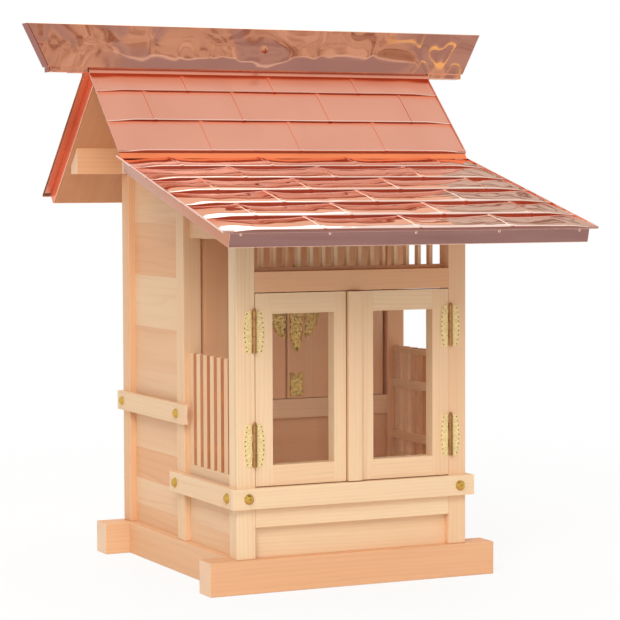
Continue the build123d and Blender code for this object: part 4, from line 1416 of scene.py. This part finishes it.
class SHRINE_OT_hinges(bpy.types.Operator):
    """Dress the butt hinges in pressed brass with scrolls and tacks."""
    bl_idname = "shrine.hinges"
    bl_label = "Hinges"

    plate: size("Plate", "Thickness of a hinge plate", 0.001)
    barrel: size("Barrel", "Radius of a knuckle", 0.0022)
    waist: size("Waist", "Plate's reach from the axis at mid height", 0.0114)
    tip: size("Tip", "Plate's reach from the axis at its ends", 0.0084)
    rim: size("Rim", "Pierced eyes inside the plate's edge", 0.0013)
    drop: size("Drop", "Middle of the upper hinge under the door's top", 0.0385)
    bare: share("Bare middle", "Part of a hinge's half height without tacks", 0.3)
    eyes: IntProperty(name="Eyes", description="Pierced eyes along a plate's edge", default=9)

    def spots(self, axis_x, outward, levels, face):
        """Places of the scrolls, the pierced eyes and the tacks on one side of the hinges."""
        height = settings().brass.hinge_height
        middle = (self.eyes - 1) / 2
        scrolls, eyes, tacks = [], [], []
        for level in levels:
            for row in range(self.eyes):
                part = (row - middle) / (middle + 0.5)
                z = level + height / 2 * part
                reach = self.tip + (self.waist - self.tip) * math.cos(math.pi / 2 * part)
                eyes.append((Vector((axis_x + outward * (reach - self.rim), face, z)), -Y_AXIS))
                if row % 2:
                    scroll_x = axis_x + outward * (self.barrel + reach) / 2
                    scrolls.append((Vector((scroll_x, face, z)), -Y_AXIS))
                elif abs(part) > self.bare:
                    tacks.append((Vector((axis_x + outward * (self.barrel + self.rim), face, z)), -Y_AXIS))
        return scrolls, eyes, tacks

    def dress(self, node, groups):
        """One node's plates with their ornament; groups are (axis, outward) pairs."""
        metal = settings().brass
        solid = node_solid(node)
        ease(solid, self.plate / 8, 1)
        body = frame["nodes"][node]["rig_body"]
        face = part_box("left_door")[0].y - self.plate

        def turned(polygon):
            """True on a knuckle."""
            away = min(abs(polygon.center.x - axis_x) for axis_x, _ in groups)
            return away < self.barrel + self.plate / 4 and polygon.center.y < face

        plates = set_solid(solid, f"{node}_brass", body, brass("pressed brass plate"), (node,),
                           PLATE_ROUND)
        second_finish(plates, brass("turned brass"), turned)
        low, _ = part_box("left_door_hinge_leaves")
        levels = (low.z + metal.hinge_height / 2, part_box("left_door")[1].z - self.drop)
        rows = [self.spots(axis_x, outward, levels, face) for axis_x, outward in groups]
        ornament = (("scrolls", scroll_solid(metal.scroll, metal.wire), "polished brass", 2 * math.pi),
                    # Each pierced eye is a low dark dome, painted shade of its hole.
                    ("eyes", dome(metal.tack, metal.tack / 3, steps=10), "blackened brass", 0.0),
                    ("tacks", dome(metal.tack, metal.tack, steps=10), "polished brass", 0.0))
        for number, (kind, fitting, finish, twist) in enumerate(ornament):
            spots = [spot for row in rows for spot in row[number]]
            set_fittings(f"{node}_{kind}", spots, fitting, body, brass(finish), metal.seed, twist)

    def execute(self, context):
        """Dress the leaves on the posts and on both doors."""
        hinge = next(joint for joint in frame["joints"] if joint["name"] == "left_door_hinge")
        axis_x = abs(hinge["pos_m"][0])
        self.dress("post_hinge_leaves", [(side * axis_x, side) for side, _ in SIDES])
        for side, name in SIDES:
            self.dress(f"{name}_door_hinge_leaves", [(side * axis_x, -side)])
        return {"FINISHED"}


class SHRINE_OT_domes(bpy.types.Operator):
    """Set the brass domes on the waist rail and the upper rail."""
    bl_idname = "shrine.domes"
    bl_label = "Rail domes"

    def execute(self, context):
        """Set a dome on each rail in front of each post that it crosses."""
        metal = settings().brass
        waist_low, waist_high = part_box("waist_rail")
        upper_low, upper_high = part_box("upper_rail")
        posts = ("front", "middle", "rear")
        middles = {post: sum(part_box(f"left_{post}_post"), Vector()) / 2 for post in posts}
        spots = []
        for side, _ in SIDES:
            out = X_AXIS * side
            waist_z = (waist_low.z + waist_high.z) / 2
            upper_z = (upper_low.z + upper_high.z) / 2
            spots.append((Vector((-side * middles["front"].x, waist_low.y, waist_z)), -Y_AXIS))
            for post, reach, level in (("front", waist_high.x, waist_z), ("middle", waist_high.x, waist_z),
                                       ("middle", upper_high.x, upper_z), ("rear", upper_high.x, upper_z)):
                spots.append((Vector((side * reach, middles[post].y, level)), out))
        set_fittings("rail_domes", spots, dome(metal.dome, metal.dome_height, steps=28), ROOT,
                     brass("domed brass"), metal.seed)
        return {"FINISHED"}


# Edge of a quarter of the middle plate, in parts of its half width and half height
MIDDLE_EDGE = ((1, 0), (1, 0.62), (0.78, 0.69), (0.86, 0.75), (0.6, 0.82), (0.64, 0.89), (0.3, 0.96), (0, 1))
# A fan's scallops, their depth and the points along the edge
FAN_LOBES = 11
FAN_SCALLOP = 0.07
FAN_STEPS = 88
# Half width of an end plate's notch, in parts of the plate's half width
NOTCH_HALF = 0.45
# Spacing and radius of the plates' scrolls, in parts of a hinge's scroll
SCROLL_SPACING = 1.9
SCROLL_SHARE = 0.86
# Rows of scrolls, in parts of the spacing: lowest row, rise, first scroll of every other row, and margin
LOWEST_ROW = 0.7
ROW_RISE = 0.9
ROW_STARTS = (1.05, 0.62)
SCROLL_MARGIN = 0.42


class SHRINE_OT_plates(bpy.types.Operator):
    """Set the pressed brass plates on the inner doors."""
    bl_idname = "shrine.plates"
    bl_label = "Door plates"

    middle_reach: size("Middle plate", "Half height of the middle plate", 0.0475)
    middle_half: size("Middle width", "Half width of the middle plate", 0.0075)
    fan_reach: size("Fan height", "Half height of a side fan", 0.0335)
    fan_width: size("Fan width", "Width of a side fan", 0.0185)
    end_plate: size("End plate", "Height of the plates at the batten's ends", 0.025)
    end_gap: size("End gap", "Bare batten at its ends", 0.0028)
    notch: size("Notch", "Depth of the notch in an end plate", 0.0065)

    def middle_outline(self, centre):
        """Straight sides that step in to a pointed, scalloped tip at each end."""
        quarter = [(self.middle_half * x, self.middle_reach * z) for x, z in MIDDLE_EDGE]
        upper = quarter + [(-x, z) for x, z in reversed(quarter[:-1])]
        lower = [(-x, -z) for x, z in upper[1:-1]]
        return [(x, z + centre) for x, z in upper + lower]

    def fan_outline(self, start, side, centre):
        """Half oval with a scalloped edge."""
        points = []
        for step in range(FAN_STEPS + 1):
            angle = math.pi * (step / FAN_STEPS - 0.5)
            lobe = abs(math.sin(math.pi * FAN_LOBES * step / FAN_STEPS))
            swell = 1 - FAN_SCALLOP + FAN_SCALLOP * lobe
            points.append((start + side * self.fan_width * swell * math.cos(angle),
                           centre + self.fan_reach * swell * math.sin(angle)))
        return points

    def end_outline(self, foot, up):
        """Small plate at a batten's end with a notch towards the middle."""
        half = self.middle_half
        notch = half * NOTCH_HALF
        tip = foot + up * self.end_plate
        return [(-half, foot), (half, foot), (half, tip), (notch, tip), (0, tip - up * self.notch),
                (-notch, tip), (-half, tip)]

    def scrolls_in(self, outline, face, spacing):
        """Scroll places inside an outline, in staggered rows."""
        xs, zs = [x for x, _ in outline], [z for _, z in outline]
        spots = []
        row = 0
        z = min(zs) + spacing * LOWEST_ROW
        while z < max(zs):
            x = min(xs) + spacing * ROW_STARTS[row % 2]
            while x < max(xs):
                if self.inside(x, z, outline, spacing * SCROLL_MARGIN):
                    spots.append((Vector((x, face, z)), -Y_AXIS))
                x += spacing
            z += spacing * ROW_RISE
            row += 1
        return spots

    def inside(self, x, z, outline, margin):
        """True if a point and its surroundings lie inside an outline."""
        for dx, dz in ((0, 0), (margin, 0), (-margin, 0), (0, margin), (0, -margin)):
            crossings = 0
            for (ax, az), (bx, bz) in zip(outline, outline[1:] + outline[:1]):
                if (az > z + dz) != (bz > z + dz):
                    crossings += x + dx < ax + (z + dz - az) * (bx - ax) / (bz - az)
            if crossings % 2 == 0:
                return False
        return True

    def execute(self, context):
        """Cut, place and ornament the plates on both leaves."""
        metal = settings().brass
        batten_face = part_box("right_inner_door")[0].y
        leaf_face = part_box("left_inner_door")[0].y
        low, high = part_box("left_inner_door")
        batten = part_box("right_inner_door")[0].x
        centre = (low.z + high.z) / 2
        end_low = self.end_outline(low.z + self.end_gap, 1)
        end_high = self.end_outline(high.z - self.end_gap, -1)
        right = [(self.middle_outline(centre), batten_face), (end_low, batten_face), (end_high, batten_face),
                 (self.fan_outline(-batten, 1, centre), leaf_face)]
        left = [(self.fan_outline(high.x, -1, centre), leaf_face)]
        for name, plates in (("left", left), ("right", right)):
            solids, scrolls = [], []
            for outline, face in plates:
                solid = plate_solid(outline, metal.plate, metal.plate / 5)
                solid.transform(Matrix.Translation(Y_AXIS * face))
                solids.append(solid)
                scrolls += self.scrolls_in(outline, face - metal.plate, metal.scroll * SCROLL_SPACING)
            body = f"{name}_inner_door"
            set_solid(joined(solids), f"{name}_inner_plates", body, brass("pierced brass plate"), (),
                      PLATE_ROUND)
            scroll = scroll_solid(metal.scroll * SCROLL_SHARE, metal.wire)
            set_fittings(f"{name}_inner_scrolls", scrolls, scroll, body, brass("polished brass"),
                         metal.seed, 2 * math.pi)
        return {"FINISHED"}


# Soft square lights: name, place, aim, width, power, colour, and whether the metal shows them
LIGHTS = (
    ("key", (-1.5, -2.0, 2.0), (0, 0, 0.2), 1.6, 53, (1, 0.98, 0.95), False),
    ("fill", (-0.2, -3.0, 0.8), (0, 0, 0.2), 1.8, 7, (1, 0.98, 0.96), False),
    ("top", (0.2, 0.3, 2.6), (0, 0, 0.3), 2.0, 20, (1, 0.99, 0.98), False),
    ("softbox", (0.55, 1.75, 2.25), (0, -0.1, 0.4), 1.2, 7.5, (1, 1, 1), True),
)
# Cards that only the metal sees: name, place, turn in degrees, width and height
CARDS = (
    ("room_card", (1.25, -2.4, 0.6), (0, 0, 26), 1.8, 1.8),
    ("flag_card", (1.15, 1.8, 0.95), (0, 0, -30), 1.5, 1.35),
    ("table_card", (0.5, -1.0, 0.012), (90, 0, 0), 1.7, 1.05),
)
CARD_THICKNESS = 0.02
CARD_EDGE = 0.005
# Floor's radius and corners, and the distances between which it fades away
FLOOR_RADIUS = 3.0
FLOOR_CORNERS = 64
FLOOR_FADE = (0.55, 1.5)
ROOM_COLOUR = (1, 0.985, 0.965)
# Camera's sensor in millimetres, and the distance up to which it sees
SENSOR = 36
SIGHT = 50


class SHRINE_OT_stage(bpy.types.Operator):
    """Set the floor, the lights, the white surroundings and the camera."""
    bl_idname = "shrine.stage"
    bl_label = "Stage"

    def floor(self):
        """Pale floor that fades into the white surroundings."""
        stage = settings().stage
        solid = bmesh.new()
        bmesh.ops.create_circle(solid, cap_ends=True, segments=FLOOR_CORNERS, radius=FLOOR_RADIUS)
        mesh = mesh_of(solid, "floor")
        material, tree, shader = new_material("pale floor")
        place = object_place(tree)
        feed(shader, {"Base Color": stage.floor, "Roughness": noise_value(place, 60.0, 3.0) * 0.1 + 0.8,
                      "Specular IOR Level": 0.0})
        white = flow(tree, "ShaderNodeEmission", {"Color": (1, 1, 1), "Strength": 1.0})
        seen = flow(tree, "ShaderNodeLightPath", output="Is Camera Ray") * stage.lift
        lifted = flow(tree, "ShaderNodeMixShader", {0: seen, 1: Flow(shader), 2: white})
        reach = flow(tree, "ShaderNodeVectorMath", {0: place}, "Value", operation="LENGTH")
        clear = flow(tree, "ShaderNodeBsdfTransparent")
        faded = flow(tree, "ShaderNodeMixShader", {0: ramp(reach, *FLOOR_FADE), 1: lifted, 2: clear})
        feed(tree.nodes["Material Output"], {"Surface": faded})
        mesh.materials.append(material)
        floor = add_object("floor", mesh)

    def surroundings(self):
        """White to the camera, to gloss and through glass; softer as a light."""
        world = bpy.data.worlds.new("studio")
        bpy.context.scene.world = world
        world.use_nodes = True
        tree = world.node_tree
        tree.nodes.clear()
        rays = add_node(tree, "ShaderNodeLightPath")
        seen = Flow(rays, "Is Camera Ray")
        for kind in ("Is Glossy Ray", "Is Transmission Ray"):
            seen = seen.step("MAXIMUM", Flow(rays, kind))
        soft = flow(tree, "ShaderNodeBackground", {"Color": ROOM_COLOUR, "Strength": settings().stage.room})
        white = flow(tree, "ShaderNodeBackground", {"Color": (1, 1, 1), "Strength": 1.0})
        both = flow(tree, "ShaderNodeMixShader", {0: seen, 1: soft, 2: white})
        add_node(tree, "ShaderNodeOutputWorld", {"Surface": both})

    def light(self, name, place, aim, width, power, colour, glossy):
        """One soft square light."""
        data = bpy.data.lights.new(name, "AREA")
        data.shape = "SQUARE"
        data.size = width
        data.energy = power
        data.color = colour
        lamp = add_object(name, data)
        lamp.visible_glossy = glossy
        lamp.location = place
        lamp.rotation_euler = (Vector(aim) - Vector(place)).to_track_quat("-Z", "Y").to_euler()

    def card(self, name, place, turned, wide, tall, material):
        """Card that only the metal sees."""
        corner = Vector((wide, CARD_THICKNESS, tall)) / 2
        solid = box_solid(-corner, corner)
        ease(solid, CARD_EDGE, 2)
        card = add_object(name, mesh_of(solid, name))
        card.data.materials.append(material)
        card.location = place
        card.rotation_euler = [math.radians(angle) for angle in turned]
        card.visible_camera = False
        card.visible_diffuse = False
        card.visible_transmission = False
        card.visible_shadow = False

    def shine(self, shader, colour):
        """Show a colour by its own light alone."""
        feed(shader, {"Base Color": (0, 0, 0), "Specular IOR Level": 0.0, "Emission Color": colour,
                      "Emission Strength": 1.0})

    def room(self, name):
        """Warm room in front of the shrine: curled wood, a smooth dark field at its foot and bright lines."""
        stage = settings().stage
        material, tree, shader = new_material(name)
        place = object_place(tree)
        across, _, height = axes(place)
        # The ridge shows the card about ten times as tall as wide, so its pattern is drawn narrow
        narrow = vector_step("MULTIPLY", place, (9, 1, 1))
        curl = noise_value(narrow, 1.3, 2.0, 1.6)
        lines = (curl * 44.0).step("SINE")
        dark = ramp(lines, 0.0, 1.0) * 0.5 + ramp(curl, 0.45, 0.85)
        wood = mix_colour(dark, stage.card_high, stage.card_dark)
        wander = noise_value(narrow, 0.7, 1.0, 0.8)
        veiled = mix_colour(ramp(wander, 0.56, 0.6) * 0.7, wood, stage.card_low)
        field = ramp(across, -0.5, -0.42) * ramp(across, 0.24, 0.16)
        level = (wander - 0.5) * 0.5 + height
        footed = mix_colour(ramp(level, -0.02, -0.05) * field, veiled, stage.card_low)
        rim = ramp((level + 0.03).step("ABSOLUTE"), 0.02, 0.0) * field
        rimmed = mix_colour(rim, footed, stage.card_pale)
        loop = (noise_value(narrow, 1.1, 0.0, 1.4) - 0.5).step("ABSOLUTE")
        bright = ramp(loop, 0.03, 0.015) * ramp(across, 0.16, 0.24)
        self.shine(shader, mix_colour(bright, rimmed, stage.card_lamp))
        return material

    def cloth(self, name, first, second, lines):
        """Cloudy cloth of two colours with thin dark lines."""
        material, tree, shader = new_material(name)
        cloud = noise_value(object_place(tree), 3.0, 3.0)
        contour = (cloud * 18.0).step("SINE").step("ABSOLUTE")
        mark = ramp(contour, 0.6, 0.1) * lines
        self.shine(shader, mix_colour(mark, mix_colour(cloud, first, second), settings().stage.card_dark))
        return material

    def camera(self):
        """Camera at the photograph's angle."""
        stage = settings().stage
        data = bpy.data.cameras.new("camera")
        data.sensor_width = SENSOR
        data.lens = stage.lens
        data.clip_end = SIGHT
        camera = add_object("camera", data)
        heading = Matrix.Rotation(-stage.azimuth, 4, "Z")
        tilt = Matrix.Rotation(math.pi / 2 - stage.drop, 4, "X")
        roll = Matrix.Rotation(stage.roll, 4, "Z")
        camera.matrix_world = Matrix.Translation(stage.place) @ heading @ tilt @ roll
        bpy.context.scene.camera = camera

    def execute(self, context):
        """Build the stage."""
        stage = settings().stage
        bpy.context.scene.view_settings.view_transform = "Standard"
        self.floor()
        self.surroundings()
        for light in LIGHTS:
            self.light(*light)
        faces = (self.room("room card"), self.cloth("grey flag", stage.flag, stage.card_high, 0.8),
                 self.cloth("dark table", stage.card_low, stage.table, 0.1))
        for card, face in zip(CARDS, faces):
            self.card(*card, face)
        self.camera()
        return {"FINISHED"}


OPERATORS = (
    SHRINE_OT_timbers, SHRINE_OT_rails, SHRINE_OT_walls, SHRINE_OT_lattices, SHRINE_OT_doors,
    SHRINE_OT_roof_boards, SHRINE_OT_courses, SHRINE_OT_trim, SHRINE_OT_ridge, SHRINE_OT_hinges,
    SHRINE_OT_domes, SHRINE_OT_plates, SHRINE_OT_stage,
)


class SHRINE_PT_sidebar(bpy.types.Panel):
    """Sidebar with one button for each group of pieces."""
    bl_idname = "SHRINE_PT_sidebar"
    bl_label = "Shrine"
    bl_space_type = "VIEW_3D"
    bl_region_type = "UI"
    bl_category = "Shrine"

    def draw(self, context):
        """List the operators."""
        for operator in OPERATORS:
            self.layout.operator(operator.bl_idname)


CLASSES = (
    TimberSettings, CopperSettings, BrassSettings, StageSettings, ShrineSettings, *OPERATORS,
    SHRINE_PT_sidebar,
)


def register():
    """Add the classes and the settings to Blender."""
    for item in CLASSES:
        bpy.utils.register_class(item)
    bpy.types.Scene.shrine = PointerProperty(type=ShrineSettings)


def unregister():
    """Take the classes and the settings out of Blender."""
    del bpy.types.Scene.shrine
    for item in reversed(CLASSES):
        bpy.utils.unregister_class(item)


def main():
    """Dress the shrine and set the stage."""
    register()
    for operator in OPERATORS:
        group, name = operator.bl_idname.split(".")
        getattr(getattr(bpy.ops, group), name)()


if __name__ == "__main__":
    main()
